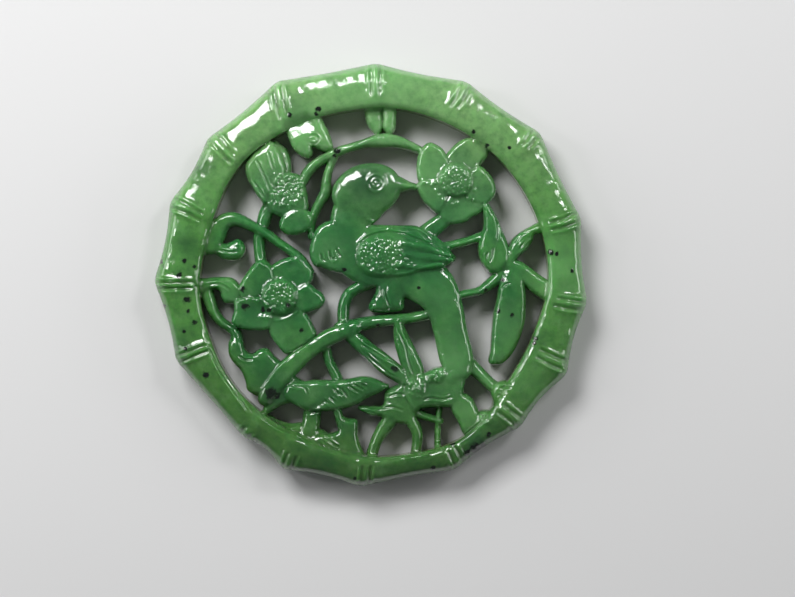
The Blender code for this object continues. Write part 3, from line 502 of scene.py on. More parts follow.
# Darker green clouds: the same
CLOUDS = (
    (-109.5, 19, 7, 0.8), (-101, 62, 7, 0.7), (-112, -40, 9, 0.5), (-104, -2, 10, 0.5), (-70, -14, 10, 0.5),
    (-45, 100, 7, 0.4), (84, -22, 10, 0.5), (62, -100, 10, 0.9), (-58, -72, 9, 0.8), (-30, -112, 14, 0.5),
    (20, -118, 12, 0.4), (114, -10, 7, 0.3), (95, -40, 8, 0.4), (38, -20, 9, 0.4), (-4, 54, 15, 1.1),
    (8, -4, 14, 0.35), (22, 14, 12, 0.3), (-16, 18, 10, 0.4), (47, -35, 10, 0.35), (30, -68, 9, 0.4),
)

# Stippling: pitch, radius and rise of the bumps in millimetres, and the turn of the stamens' grid in degrees
STAMEN_BUMPS = (0.52, 0.32, 0.17)
ROW_BUMPS = (0.42, 0.28, 0.13)
SCALE_BUMPS = (0.58, 0.36, 0.21)
LUMPS = (0.75, 0.5, 0.25)
stamen_turn = 20

# Single grains left beside the blossoms' middles
GRAINS = (
    (30.7, 55.2), (33.2, 54), (35.3, 53.1), (37.4, 54.4), (38.2, 50.2), (39.9, 46.9), (42.4, 44.3),
    (45.8, 43.5), (48, 41.8), (50.4, 42.6), (57.6, 45.2), (60.5, 44.3), (61.3, 50.2), (63, 64.5),
    (-71.9, -13.7), (-69.4, -14.6), (-67.3, -15.4), (-76.9, -12.9), (-76.1, -15), (-65.2, -24.7),
    (-63, -24.9), (-60.8, -25), (-61.8, -17.9), (-57.4, -19.2), (-66, 7), (-63.4, 5.4), (-48, 8.6),
)

rough_from = 0.22  # beads that rise by more than this are stippled

# Low beads and knots: right, up, radius and rise, in drawing units and millimetres
BEADS = (
    (37.4, -58.5, 5.2, 0.3), (26.5, -67.3, 5.2, 0.3), (47.5, -60.5, 4.4, 0.2), (12, -28.4, 4.2, 0.22),
    (22.3, -62.2, 3.4, 0.2), (-15.6, -34, 4.4, 0.22), (67.6, -84.6, 4.2, 0.25), (6, -63.4, 2.6, 0.12),
)

flat_fade = 0.6  # how long a flat takes to die away above its run, in runs

# Flats tilted towards the top: middle of the lower edge, turn in degrees, half length, run and slope
FLATS = (
    ((-40.5, 82.5), 24, 2.1, 1.8, 0.39),
    ((-30.6, -78.8), 24, 1.3, 0.6, 0.4),
    ((-9.5, 62), 27, 2.4, 0.9, 0.12),
)

# The stippled part of the bud: middle, radii and turn
STIPPLED = ((-49.5, 49.5), (9.5, 10), 0)

# The bird's wing: middle of its scaled part, its two radii and its turn in degrees
SCALED = ((6.0, 11.5), (14.5, 10.5), -10)

# How far each petal of a blossom lies above or below petal_level, as a share of ring_thickness
PETAL_STEPS = (0.01, -0.035, 0.015, -0.02, 0.03)

# The eye: middle, then radius, half width and rise of each ring, in drawing units and millimetres
EYE = ((2.8, 54.3), ((0, 0.26, 0.09), (2.5, 0.2, 0.08), (5.2, 0.27, 0.11)))

# Slow waves left by hand polishing: direction in degrees, length and height in millimetres
HAND_WAVES = (
    (15, 5.3, 0.03), (75, 4.1, 0.026), (130, 3.3, 0.02),
    (165, 2.4, 0.015), (100, 1.7, 0.012), (40, 1.45, 0.014),
)

sharp_angle = 50  # the least bend between faces that shows as an edge, in degrees
# The inner walls carry a painted warm glow of light through the stone, as well as more roughness
inner_wall_from = 1  # walls this far in from the ring's outside are tinted as inner walls

# The stone's colour by the distance from the middle, in the ring's radius
STONE = (
    (0.0, (0.030, 0.192, 0.054)), (0.70, (0.036, 0.208, 0.056)),
    (0.82, (0.108, 0.318, 0.070)), (1.0, (0.112, 0.322, 0.074)),
)

# Grain of the stone and of its polish: scale per metre, detail and roughness of the noise
GRAIN = {
    "broad": (150, 4.0, 0.5), "middling": (420, 4.0, 0.6), "fine": (1100, 5.0, 0.6),
    "ragged": (1900, 4.0, 0.6), "polish": (1500, 3.0, 0.6),
}

# Tints laid over the stone: what each follows, its strength at given values of that, and its colour. The two
# that follow the height up the piece are painted shade low down and painted light at the top.
TINTS = (
    ("broad", ((0.45, 0), (0.68, 0.55)), (0.13, 0.38, 0.10)),
    # painted shade: darker olive towards the bottom, where less light falls
    ("upward", ((0.0, 0.75), (0.4, 0.12), (0.6, 0)), (0.052, 0.115, 0.030)),
    # painted light: paler towards the top, where the lamps light it most
    ("upward", ((0.6, 0), (0.95, 0.7)), (0.36, 0.60, 0.27)),
    ("middling", ((0.46, 0), (0.70, 0.35)), (0.020, 0.095, 0.036)),
    ("middling", ((0.28, 0.3), (0.46, 0)), (0.19, 0.38, 0.17)),
    ("fine", ((0.45, 0), (0.72, 0.4)), (0.022, 0.095, 0.038)),
)

# Tints that follow the surface's own values: strength and colour. The pale tint is partly painted light, and
# the wall tint is a painted warm glow on the inner walls.
PALE_AND_PAINTED_LIGHT_TINT = (0.5, (0.19, 0.46, 0.17))
CLOUD_TINT = (0.7, (0.018, 0.080, 0.034))
PAINTED_WALL_GLOW = (0.45, (0.26, 0.25, 0.12))

# Dark flecks: how far their ragged rims reach in their radii, how ragged, where dark sets in and how fast
fleck_colour = (0.006, 0.012, 0.007)
fleck_spread = 1.85
fleck_ragged = 1.3
fleck_from = 0.30
fleck_steepness = 3.2
fleck_least = 0.02

# Polish: roughness at its least, what the fine grain and the inner walls add, and the low waves
polish = 0.05
grain_rough = 0.10
wall_rough = 0.2
wave_strength = 0.5
wave_height = 0.00006
clearness = 0.25  # the share of light that goes straight into the stone

# The studio: each soft box's name, place, size and power, then the table and the camera, in metres
SOFTBOXES = (
    ("key", (-0.12, 0.19, 0.24), (0.16, 0.11), 1.05),
    ("second", (0.16, 0.16, 0.24), (0.06, 0.06), 0.22),
    ("left", (-0.25, 0.08, 0.20), (0.04, 0.06), 0.13),
    ("right", (0.24, 0.12, 0.20), (0.04, 0.05), 0.08),
    ("low_left", (-0.42, 0.10, 0.14), (0.3, 0.16), 0.55),
    ("low_right", (0.42, 0.06, 0.14), (0.3, 0.16), 0.55),
)
room_light = 0.1
table_half = 0.6
camera_place = (3.44 * MM, -3.05 * MM, 0.36)
focal_length = 125.05

unit = opening_diameter / 200
ring_radius = ring_diameter / 2


def smooth(points, closed):
    """A dense curve through the points: cubic pieces whose slopes are half the chords beside them."""
    p = np.asarray(points, float)
    if closed:
        p = np.vstack([p[-1:], p, p[:2]])
    else:
        p = np.vstack([2 * p[0] - p[1], p, 2 * p[-1] - p[-2]])
    t = np.linspace(0, 1, curve_steps, endpoint=False)[None, :, None]
    a, b, c, d = (p[k : len(p) - 3 + k][:, None, :] for k in range(4))
    curve = 0.5 * (2 * b + (c - a) * t + (2 * a - 5 * b + 4 * c - d) * t**2 + (3 * b - a - 3 * c + d) * t**3)
    curve = curve.reshape(-1, p.shape[1])
    return curve if closed else np.vstack([curve, p[-2]])


def resample(curve, spacing, closed):
    """The curve cut into equal lengths of about the spacing."""
    ring = np.vstack([curve, curve[:1]]) if closed else curve
    along = np.concatenate([[0], np.cumsum(np.hypot(*np.diff(ring[:, :2], axis=0).T))])
    count = max(6 if closed else 2, round(along[-1] / spacing))
    stops = np.linspace(0, along[-1], count + 1)
    if closed:
        stops = stops[:-1]
    return np.stack([np.interp(stops, along, column) for column in ring.T], axis=1)


def winding(points, outline):
    """How often the outline turns round each point: upward crossings to its right less downward ones."""
    ahead = np.roll(outline, -1, axis=0)
    x, y = points[:, 0, None], points[:, 1, None]
    up = (outline[:, 1] <= y) & (ahead[:, 1] > y)
    down = (outline[:, 1] > y) & (ahead[:, 1] <= y)
    side = (ahead[:, 0] - outline[:, 0]) * (y - outline[:, 1]) - (x - outline[:, 0]) * (
        ahead[:, 1] - outline[:, 1]
    )
    return (up & (side > 0)).sum(axis=1) - (down & (side < 0)).sum(axis=1)


def to_segments(points, start, end):
    """For each point, the distance to each segment and the share along it of the nearest place."""
    run = end - start
    away = points[:, None] - start
    share = (away[..., 0] * run[:, 0] + away[..., 1] * run[:, 1]) / np.maximum((run**2).sum(axis=1), 1e-12)
    share = share.clip(0, 1)
    return np.hypot(away[..., 0] - share * run[:, 0], away[..., 1] - share * run[:, 1]), share


def leftward(run):
    """The unit vectors to the left of these."""
    return np.stack([-run[:, 1], run[:, 0]], axis=1) / np.linalg.norm(run, axis=1)[:, None]


def turned(away, turn):
    """How far each spot lies along a direction, and how far to the left of it."""
    c, s = math.cos(turn), math.sin(turn)
    return away[:, 0] * c + away[:, 1] * s, away[:, 1] * c - away[:, 0] * s


def in_pieces(points, work, size=2000):
    """The work done on a few thousand points at a time, joined again."""
    if len(points) == 0:
        return work(points)
    return np.concatenate([work(points[k : k + size]) for k in range(0, len(points), size)])


def fallen(inset, rounding, most=np.inf):
    """How far a form lies under its top: a shallow dome and a tight edge, powers of the way still to go."""
    dome_width, dome, edge_width, edge = rounding
    dome_part = (1 - inset / np.minimum(dome_width, most)).clip(0, 1)
    edge_part = (1 - inset / np.minimum(edge_width, most)).clip(0, 1)
    return dome * dome_part**2 + edge * edge_part**edge_power + cliff * (-inset).clip(0)


def kind_of(name, usual):
    """How the form of that name is rounded."""
    if name in BIRD:
        return "bird"
    if name in FEATHERS:
        return "feather"
    return "wing" if name == "wing" else usual


def strand(level, points, kind):
    """A long form: its outline beside the middle line, and its height from the distance to that line."""
    middle = resample(smooth(points, closed=False) * unit, spine_step, closed=False)
    centre, half = middle[:, :2], middle[:, 2]
    along = np.gradient(centre, axis=0)
    along /= np.linalg.norm(along, axis=1)[:, None]
    across = np.stack([-along[:, 1], along[:, 0]], axis=1)
    turns = np.radians(np.linspace(-cap_turn, cap_turn, cap_points))[:, None]
    tip = centre[-1] + half[-1] * (np.cos(turns) * along[-1] + np.sin(turns) * across[-1])
    root = centre[0] - half[0] * (np.cos(turns) * along[0] + np.sin(turns) * across[0])
    left, right = centre + across * half[:, None], centre - across * half[:, None]
    outline = resample(np.vstack([right, tip, left[::-1], root]), edge_step, closed=True)

    def reach(spots):
        def work(some):
            apart, share = to_segments(some, centre[:-1], centre[1:])
            gap = half[:-1] + share * np.diff(half) - apart
            best = gap.argmax(axis=1)
            return np.stack([gap[np.arange(len(some)), best], half[best]], axis=1)

        return in_pieces(spots, work)

    def height(spots):
        inset, local = reach(spots).T
        return level * ring_thickness - fallen(inset, ROUNDING[kind], local)

    return form_of(outline, height)


def patch(level, points, kind):
    """A leaf or petal: its smooth outline, and its height from the distance to that outline."""
    outline = resample(smooth(points, closed=True) * unit, edge_step, closed=True)

    def height(spots):
        return level * ring_thickness - fallen(inset_in(outline, spots), ROUNDING[kind])

    return form_of(outline, height)


def inset_in(outline, spots):
    """The distance from the outline, counted positive inside it."""

    def work(some):
        apart = to_segments(some, outline, np.roll(outline, -1, axis=0))[0].min(axis=1)
        return np.where(winding(some, outline) != 0, apart, -apart)

    return in_pieces(spots, work)


def form_of(outline, height):
    """A form's outline, counterclockwise, its height, and the tests for spots near it and inside it."""
    if np.cross(outline, np.roll(outline, -1, axis=0)).sum() < 0:
        outline = outline[::-1]
    low, high = outline.min(axis=0) - form_margin, outline.max(axis=0) + form_margin
    return {
        "outline": outline,
        "height": height,
        "near": lambda spots: ((spots > low) & (spots < high)).all(axis=1),
        "holds": lambda spots: in_pieces(spots, lambda some: winding(some, outline) != 0),
    }


def oval(middle, radii, turn):
    """The points of an oval, counterclockwise, in drawing units."""
    angle = np.linspace(0, 2 * math.pi, oval_points, endpoint=False)
    along, across = radii[0] * np.cos(angle), radii[1] * np.sin(angle)
    turn = math.radians(turn)
    right = middle[0] + along * math.cos(turn) - across * math.sin(turn)
    up = middle[1] + along * math.sin(turn) + across * math.cos(turn)
    return np.stack([right, up], axis=1)


def joint_angles():
    """The joints' angles from the right, counterclockwise and rising, with their radii."""
    clock, share = np.array(BAMBOO_JOINTS).T
    angle = np.radians(90 - clock) % (2 * math.pi)
    order = np.argsort(angle)
    return angle[order], ring_radius * share[order]


def cornered(angle):
    """The ring's outer radius before rounding: straight from joint to joint, less a waist in between."""
    joints, radii = joint_angles()
    joints = np.concatenate([joints, joints[:1] + 2 * math.pi])
    radii = np.concatenate([radii, radii[:1]])
    angle = (angle - joints[0]) % (2 * math.pi) + joints[0]
    span = (np.searchsorted(joints, angle, side="right") - 1).clip(0, len(joints) - 2)
    share = (angle - joints[span]) / (joints[span + 1] - joints[span])
    chord = radii[span] + share * (radii[span + 1] - radii[span])
    sag = np.sin(math.pi * share)
    return chord - ring_waist * sag**waist_power * (sag / (sag + waist_ease))


def ring_outer(angle):
    """The ring's outer radius, each corner rounded by the mean of the outline a little to both sides."""
    turns = np.linspace(-1, 1, 5) * joint_corner / ring_radius
    return np.mean([cornered(angle + turn) for turn in turns], axis=0)


def ring_inner(angle):
    """The radius of the ring's inner edge."""
    degrees, radii = np.array(OPENING_EDGE, float).T
    edge = np.stack([radii * np.cos(np.radians(degrees)), radii * np.sin(np.radians(degrees))], axis=1)
    edge = smooth(edge, closed=True) * unit
    around = np.arctan2(edge[:, 1], edge[:, 0]) % (2 * math.pi)
    order = np.argsort(around)
    return np.interp(angle % (2 * math.pi), around[order], np.hypot(*edge[order].T), period=2 * math.pi)


def polar(spots):
    """Each spot's distance from the centre, and its angle."""
    return np.hypot(*spots.T), np.arctan2(spots[:, 1], spots[:, 0])


def at_polar(radius, angle):
    """The spots at these distances from the centre and these angles."""
    return np.stack([radius * np.cos(angle), radius * np.sin(angle)], axis=-1)


def ring_height(spots):
    """The ring's front: broad rounded outer edge, softer inner edge, and a low swelling at each joint."""
    radius, angle = polar(spots)
    from_outer, from_inner = ring_outer(angle) - radius, radius - ring_inner(angle)
    outer_part = (1 - from_outer / outer_round).clip(0, 1)
    inner_part = (1 - from_inner / inner_round).clip(0, 1)
    edge_part = (1 - from_outer / outer_edge).clip(0, 1)
    fall = outer_slope * outer_part**outer_power + (outer_fall - outer_slope) * edge_part**edge_power
    fall += inner_fall * inner_part**inner_power
    turn = (angle[:, None] - joint_angles()[0] + math.pi) % (2 * math.pi) - math.pi
    away = np.abs(turn).min(axis=1) * radius
    swelling = joint_rise * np.exp(-((away / (0.5 * joint_spread)) ** 2))
    outside = (-np.minimum(from_outer, from_inner)).clip(0)
    return ring_thickness + swelling - fall - cliff * outside


def ring_holds(spots):
    """Whether each spot lies between the ring's two edges."""
    radius, angle = polar(spots)
    return (radius < ring_outer(angle)) & (radius > ring_inner(angle))


def ring():
    """The bamboo ring: stations by span, rows packed towards both edges by a cosine."""
    joints = joint_angles()[0]
    ends = np.append(joints[1:], joints[0] + 2 * math.pi)
    counts = np.round((ends - joints) * ring_radius / ring_step).astype(int)
    angle = np.concatenate([np.linspace(a, b, n, endpoint=False) for a, b, n in zip(joints, ends, counts)])
    share = 0.5 * (1 - np.cos(np.pi * np.arange(ring_rows + 1) / ring_rows))[:, None]
    outer, inner = ring_outer(angle), ring_inner(angle)
    grid = at_polar(outer + share * (inner - outer), angle)
    return {
        "outline": grid[0],
        "hole": grid[-1][::-1],
        "rows": grid[1:-1].reshape(-1, 2),
        "height": ring_height,
        "near": lambda spots: np.ones(len(spots), bool),
        "holds": ring_holds,
    }


def motifs():
    """Every form in the ring's opening."""
    forms = [strand(level, points, kind_of(name, "stem")) for name, (level, points) in STRANDS.items()]
    forms += [patch(level, points, kind_of(name, "leaf")) for name, (level, points) in PATCHES.items()]
    for middle, radius, petals in BLOSSOMS.values():
        forms += [patch(petal_level + step, petal, "petal") for step, petal in zip(PETAL_STEPS, petals)]
        forms.append(patch(stamen_level, oval(middle, (radius, radius), 0), "stamen"))
    forms += [patch(level, oval(*shape), kind_of(name, "leaf")) for name, (level, *shape) in ROUNDS.items()]
    return forms


def highest(forms, spots):
    """The greatest of the forms' heights at each spot."""
    top = np.full(len(spots), -np.inf)
    for form in forms:
        near = form["near"](spots)
        if near.any():
            top[near] = np.maximum(top[near], form["height"](spots[near]))
    return top


def in_stone(forms, spots):
    """Whether each spot lies inside any of the forms."""
    inside = np.zeros(len(spots), bool)
    for form in forms:
        near = np.flatnonzero(form["near"](spots) & ~inside)
        if len(near):
            inside[near] = form["holds"](spots[near])
    return inside


def lines_of(groups):
    """Each line's half width, amount and evenly spaced points in millimetres."""
    return [
        (half, amount, resample(smooth(line, closed=False) * unit, groove_step, closed=False))
        for half, amount, lines in groups
        for line in lines
    ]


def along_lines(lines, spots, lip_share=0):
    """The amount of each line: a parabola across it, a low lip the other way on both sides, tapered ends."""
    total = np.zeros(len(spots))
    for half, amount, line in lines:
        reach = LINE_ROWS[-1] * half
        near = ((spots > line.min(axis=0) - reach) & (spots < line.max(axis=0) + reach)).all(axis=1)
        if not near.any():
            continue
        apart, share = to_segments(spots[near], line[:-1], line[1:])
        best = apart.argmin(axis=1)
        place = (best + share[np.arange(len(best)), best]) * groove_step
        ends = np.minimum(place, (len(line) - 1) * groove_step - place)
        taper = (ends / line_taper).clip(0, 1) ** taper_power
        across = apart.min(axis=1) / half
        lip = lip_share * (1 - ((across - LIPS[1]) / LIPS[2]) ** 2).clip(0)
        value = amount * taper * ((1 - across**2).clip(0) - lip)
        total[near] = np.where(np.abs(value) > np.abs(total[near]), value, total[near])
    return total


def beside_lines(lines):
    """Points on each line and on the rows either side of it."""
    spots = []
    for half, _, line in lines:
        across = leftward(np.gradient(line, axis=0))
        spots += [line] + [line + k * half * across for row in LINE_ROWS for k in (-row, row)]
    return np.vstack(spots)


def bumps(spots, centres, radius, rise):
    """Small round bumps: a parabola of the distance to the nearest centre."""

    def work(some):
        return np.linalg.norm(some[:, None] - centres, axis=2).min(axis=1)

    return rise * (1 - (in_pieces(spots, work) / radius) ** 2).clip(0)


def staggered(low, high, pitch, turn):
    """A turned, staggered grid of points over a box."""
    centre, reach = (np.array(low) + high) / 2, np.hypot(*(np.array(high) - low)) / 2
    count = int(reach / pitch) + 2
    i, j = np.meshgrid(np.arange(-count, count + 1), np.arange(-count, count + 1))
    x, y = (i + 0.5 * (j % 2)) * pitch, j * pitch * row_share
    c, s = math.cos(turn), math.sin(turn)
    return np.stack([x * c - y * s, x * s + y * c], axis=-1).reshape(-1, 2) + centre


def scattered(middle, radii, turn, pitch, seed):
    """Points over an oval, in millimetres: a staggered grid, each point moved a little at random."""
    centre, radii, turn = np.array(middle) * unit, np.array(radii) * unit, math.radians(turn)
    grid = staggered(centre - radii.max(), centre + radii.max(), pitch, turn)
    grid += np.random.default_rng(seed).uniform(-jitter, jitter, grid.shape) * pitch
    along, across = turned(grid - centre, turn)
    return grid[(along / radii[0]) ** 2 + (across / radii[1]) ** 2 < 1]


def bead_rows(rows, pitch):
    """Points along each row of beads, by turns a little above and below it."""
    spots = []
    for first, last in rows:
        first, last = np.array(first) * unit, np.array(last) * unit
        count = max(2, round(np.linalg.norm(last - first) / pitch) + 1)
        row = np.linspace(first, last, count)
        row[:, 1] += row_zigzag * pitch * (-1.0) ** np.arange(count)
        spots.append(row)
    return np.vstack(spots)


def stippling():
    """Every group of small bumps: its centres, radius and rise."""
    stamen_pitch, *stamen_bump = STAMEN_BUMPS
    groups = []
    for number, (middle, radius, _) in enumerate(BLOSSOMS.values()):
        dome = (middle, (radius - 1, radius - 1), stamen_turn)
        groups.append((scattered(*dome, stamen_pitch, seed=number), *stamen_bump))
    groups.append((scattered(*SCALED, SCALE_BUMPS[0], seed=5), *SCALE_BUMPS[1:]))
    for number, (right, up, radius, rise) in enumerate(BEADS):
        groups.append((np.array([[right, up]]) * unit, radius * unit, rise))
        if rise > rough_from:
            bead = ((right, up), (radius, radius), 0)
            groups.append((scattered(*bead, stamen_pitch, seed=11 + number), *stamen_bump))
    groups.append((scattered(*STIPPLED, stamen_pitch, seed=7), *stamen_bump))
    groups.append((bead_rows(BUD_ROWS, ROW_BUMPS[0]), *ROW_BUMPS[1:]))
    groups.append((bead_rows(CLUSTER_ROWS, LUMPS[0]), *LUMPS[1:]))
    groups.append((np.array(GRAINS) * unit, *stamen_bump))
    return groups


def eye_rings(spots):
    """The eye: a dot and two raised rings, each a parabola of the distance to its circle."""
    (right, up), rings = EYE
    away = np.hypot(spots[:, 0] - right * unit, spots[:, 1] - up * unit)
    rises = [rise * (1 - ((away - radius * unit) / half) ** 2).clip(0) for radius, half, rise in rings]
    return np.max(rises, axis=0)


def flats(spots):
    """How far each flat has been ground down: its slope times the way up its run, eased at both ends."""
    depth = np.zeros(len(spots))
    for middle, turn, half, run, slope in FLATS:
        along, upward = turned(spots - np.array(middle) * unit, math.radians(turn))
        fading = (((1 + flat_fade) * run - upward) / (flat_fade * run)).clip(0, 1)
        depth += slope * upward.clip(0, run) * ((1 - (along / half) ** 4).clip(0) * fading)
    return depth


def hand_polish(spots):
    """The slight unevenness of hand polishing: slow waves in different directions, added up."""
    turn, length, height = np.radians(np.array(HAND_WAVES)[:, :1]), *np.array(HAND_WAVES).T[1:, :, None]
    run = np.cos(turn) * spots[:, 0] + np.sin(turn) * spots[:, 1]
    return (height * np.sin(2 * math.pi * run / length + 3 * turn)).sum(axis=0)


def front_relief(spots, lines, ridges):
    """What the finer carving adds to the front."""
    relief = along_lines(ridges, spots) - along_lines(lines, spots, LIPS[0])
    for centres, size, rise in stippling():
        relief += bumps(spots, centres, size, rise)
    return relief + eye_rings(spots) + hand_polish(spots) - flats(spots)


def cells(spots, size):
    """The number of the square cell that each spot lies in."""
    i = np.floor((spots + cell_origin) / size).astype(np.int64)
    return i[:, 0] * cell_stride + i[:, 1]


def is_near(fixed, spots, size):
    """Whether each spot lies in a cell that holds a fixed point, or in one beside it."""
    steps = np.array([(i, j) for i in (-1, 0, 1) for j in (-1, 0, 1)]) * size
    taken = np.unique(np.concatenate([cells(fixed + step, size) for step in steps]))
    return np.isin(cells(spots, size), taken)


def away_from(fixed, free, size):
    """The free points that don't lie in a fixed point's cell or in one beside it."""
    return free[~is_near(fixed, free, size)]


def thinned(fixed, free, gap):
    """The free points left when those in a cell of the fixed points, or of an earlier free point, go."""
    cell = gap * cell_share
    free = away_from(fixed, free, cell)
    return free[np.unique(cells(free, cell), return_index=True)[1]]


def edges_of(faces):
    """The three directed edges of every triangle."""
    return np.vstack([faces[:, [0, 1]], faces[:, [1, 2]], faces[:, [2, 0]]]).astype(np.int64)


def borders(faces, count):
    """The directed edges that belong to one triangle only."""
    ends = edges_of(faces)
    alone = ~np.isin(ends[:, 0] * count + ends[:, 1], ends[:, 1] * count + ends[:, 0])
    return ends[alone]


def without_pinches(faces, keep, count):
    """Fills the triangles round each point where two gaps meet, so that the walls there stay closed."""
    while True:
        starts = borders(faces[keep], count)[:, 0]
        corners, number = np.unique(starts, return_counts=True)
        if (number == 1).all():
            return keep
        keep = keep | np.isin(faces, corners[number > 1]).any(axis=1)


def triangulate(points, edges, nearness):
    """The flat triangles between the points, with the edges among theirs, and where each point came from."""
    spots, _, faces, origin, _, _ = delaunay_2d_cdt(
        [Vector(p) for p in points.tolist()], edges.tolist(), [], 0, nearness
    )
    return np.array([tuple(p) for p in spots]), np.array(faces), origin


def round_features():
    """Points that carry the bumps, the eye and the flecks: rings of them round each middle."""
    flecks = np.array(FLECKS)[:, :2] * unit
    round_fleck = at_polar(np.array(FLECK_RINGS)[:, None], np.arange(8) * fleck_turn).reshape(-1, 2)
    middles = np.vstack([centres for centres, _, _ in stippling()])
    sixths = np.arange(6) * math.pi / 3
    close, wide = BUMP_RINGS
    round_bump = np.vstack([at_polar(close, sixths), at_polar(wide, sixths + math.pi / 6)])
    stations = np.linspace(0, 2 * math.pi, eye_stations, endpoint=False)
    round_eye = at_polar(np.arange(eye_step, eye_reach, eye_step)[:, None], stations)
    return np.vstack([
        middles,
        (middles[:, None] + round_bump).reshape(-1, 2),
        np.array(EYE[0]) * unit + round_eye.reshape(-1, 2),
        (flecks[:, None] + round_fleck).reshape(-1, 2),
    ])


def front_plan(forms, lines):
    """The front's points and fixed edges: outlines that show, rows beside them, lines, and the field."""
    points, edges, beside, count = [], [], [], 0
    for form in forms:
        loops = [form["outline"]] + ([form["hole"]] if "hole" in form else [])
        for loop in loops:
            ahead = np.roll(loop, -1, axis=0) - np.roll(loop, 1, axis=0)
            inward = leftward(ahead)
            shown = np.zeros(len(loop), bool)
            for step in SHOWN_AT:
                spots = loop + inward * step
                shown |= form["height"](spots) > highest(forms, spots) - hidden_by
            seen = shown | np.roll(shown, -1)
            used = seen | np.roll(seen, 1)
            place = count + np.cumsum(used) - 1
            points.append(loop[used])
            count += used.sum()
            at = np.flatnonzero(seen)
            edges.append(np.stack([place[at], place[(at + 1) % len(loop)]], axis=1))
            if "hole" not in form:
                beside += [(loop + inward * step)[used] for step in BESIDE_EDGE]
    fixed = np.vstack(points)
    features = thinned(fixed, np.vstack([beside_lines(lines), round_features()]), GAPS["features"])
    reach = opening_diameter / 2 + field_margin
    fine = staggered((-reach, -reach), (reach, reach), field_step, field_turn)
    coarse = staggered((-reach, -reach), (reach, reach), coarse_step, field_turn)
    field = np.vstack([fine[is_near(fixed, fine, edge_reach)], away_from(fixed, coarse, edge_reach)])
    radius, angle = polar(field)
    field = field[radius < ring_inner(angle) + field_lap]
    beside = thinned(np.vstack([fixed, features]), np.vstack(beside), GAPS["beside"])
    rows = away_from(features, forms[0]["rows"], GAPS["rows"])
    field = away_from(np.vstack([fixed, features, beside]), field, GAPS["field"])
    free = np.vstack([features, beside, rows, field])
    free = free[in_stone(forms, free)]
    return np.vstack([fixed, free]), np.vstack(edges)


def settled(values, faces, fixed, rounds):
    """The values moved halfway to the mean of their neighbours, a few times, where they aren't fixed."""
    ends = edges_of(faces)
    a, b = np.concatenate([ends[:, 0], ends[:, 1]]), np.concatenate([ends[:, 1], ends[:, 0]])
    number = np.maximum(np.bincount(a, minlength=len(values)), 1)
    for _ in range(rounds):
        mean = np.bincount(a, weights=values[b], minlength=len(values)) / number
        values = np.where(fixed, values, 0.5 * values + 0.5 * mean)
    return values


def back_height(spots, inset):
    """The back: flat on the ring with rounded edges, stepped in behind the motifs, and eased at each rim."""
    radius, angle = polar(spots)
    from_outer, from_inner = ring_outer(angle) - radius, radius - ring_inner(angle)
    part = (1 - from_outer / back_round).clip(0, 1)
    recess = back_recess * (-from_inner / recess_run).clip(0, 1)
    eased = rim_ease * (1 - inset / rim_ease_width).clip(0, 1) ** 2 * (from_outer > back_round)
    return recess + back_fall * (1 - np.sqrt(1 - part**2)) + eased


def back_net(forms, rim_spots, rim_edges):
    """The back's points, triangles and the place there of each rim point."""
    reach = ring_radius * 1.02
    field = staggered((-reach, -reach), (reach, reach), back_step, back_turn)
    radius, angle = polar(field)
    middle = (radius > ring_inner(angle) + 0.2) & (radius < ring_outer(angle) - back_round)
    field = field[~middle | (np.arange(len(field)) % 3 == 0)]
    around = np.linspace(0, 2 * math.pi, back_stations, endpoint=False)
    outer, inner = ring_outer(around), ring_inner(around)
    rows = [outer - back_round * share for share in BACK_ROWS] + [inner + 0.02, inner - recess_run]
    ahead, behind = rim_spots[rim_edges[:, 1]], rim_spots[rim_edges[:, 0]]
    beside = (ahead + behind) / 2 + leftward(ahead - behind) * beside_rim
    beside = thinned(rim_spots, beside, GAPS["back beside"])
    free = np.vstack([at_polar(row, around) for row in rows] + [beside])
    free = thinned(rim_spots, free, GAPS["back rows"])
    field = thinned(np.vstack([rim_spots, free]), field, GAPS["back field"])
    free = np.vstack([free, field])
    free = free[in_stone(forms, free)]
    spots, faces, origin = triangulate(np.vstack([rim_spots, free]), rim_edges, 0)
    faces = faces[inside_rim(spots[faces].mean(axis=1), rim_spots, rim_edges)]
    place = np.full(len(rim_spots), -1)
    for k, source in enumerate(origin):
        if source and source[0] < len(rim_spots):
            place[source[0]] = k
    return spots, faces, place


def inside_rim(places, spots, rim):
    """Whether a line to the right from each place crosses the rim an odd number of times."""
    start, end = spots[rim[:, 0]], spots[rim[:, 1]]
    height = np.where(end[:, 1] == start[:, 1], 1, end[:, 1] - start[:, 1])

    def work(some):
        x, y = some[:, 0, None], some[:, 1, None]
        spans = (start[:, 1] <= y) != (end[:, 1] <= y)
        crossing = start[:, 0] + (y - start[:, 1]) / height * (end[:, 0] - start[:, 0])
        return (spans & (crossing > x)).sum(axis=1) % 2 == 1

    return in_pieces(places, work, size=1000)


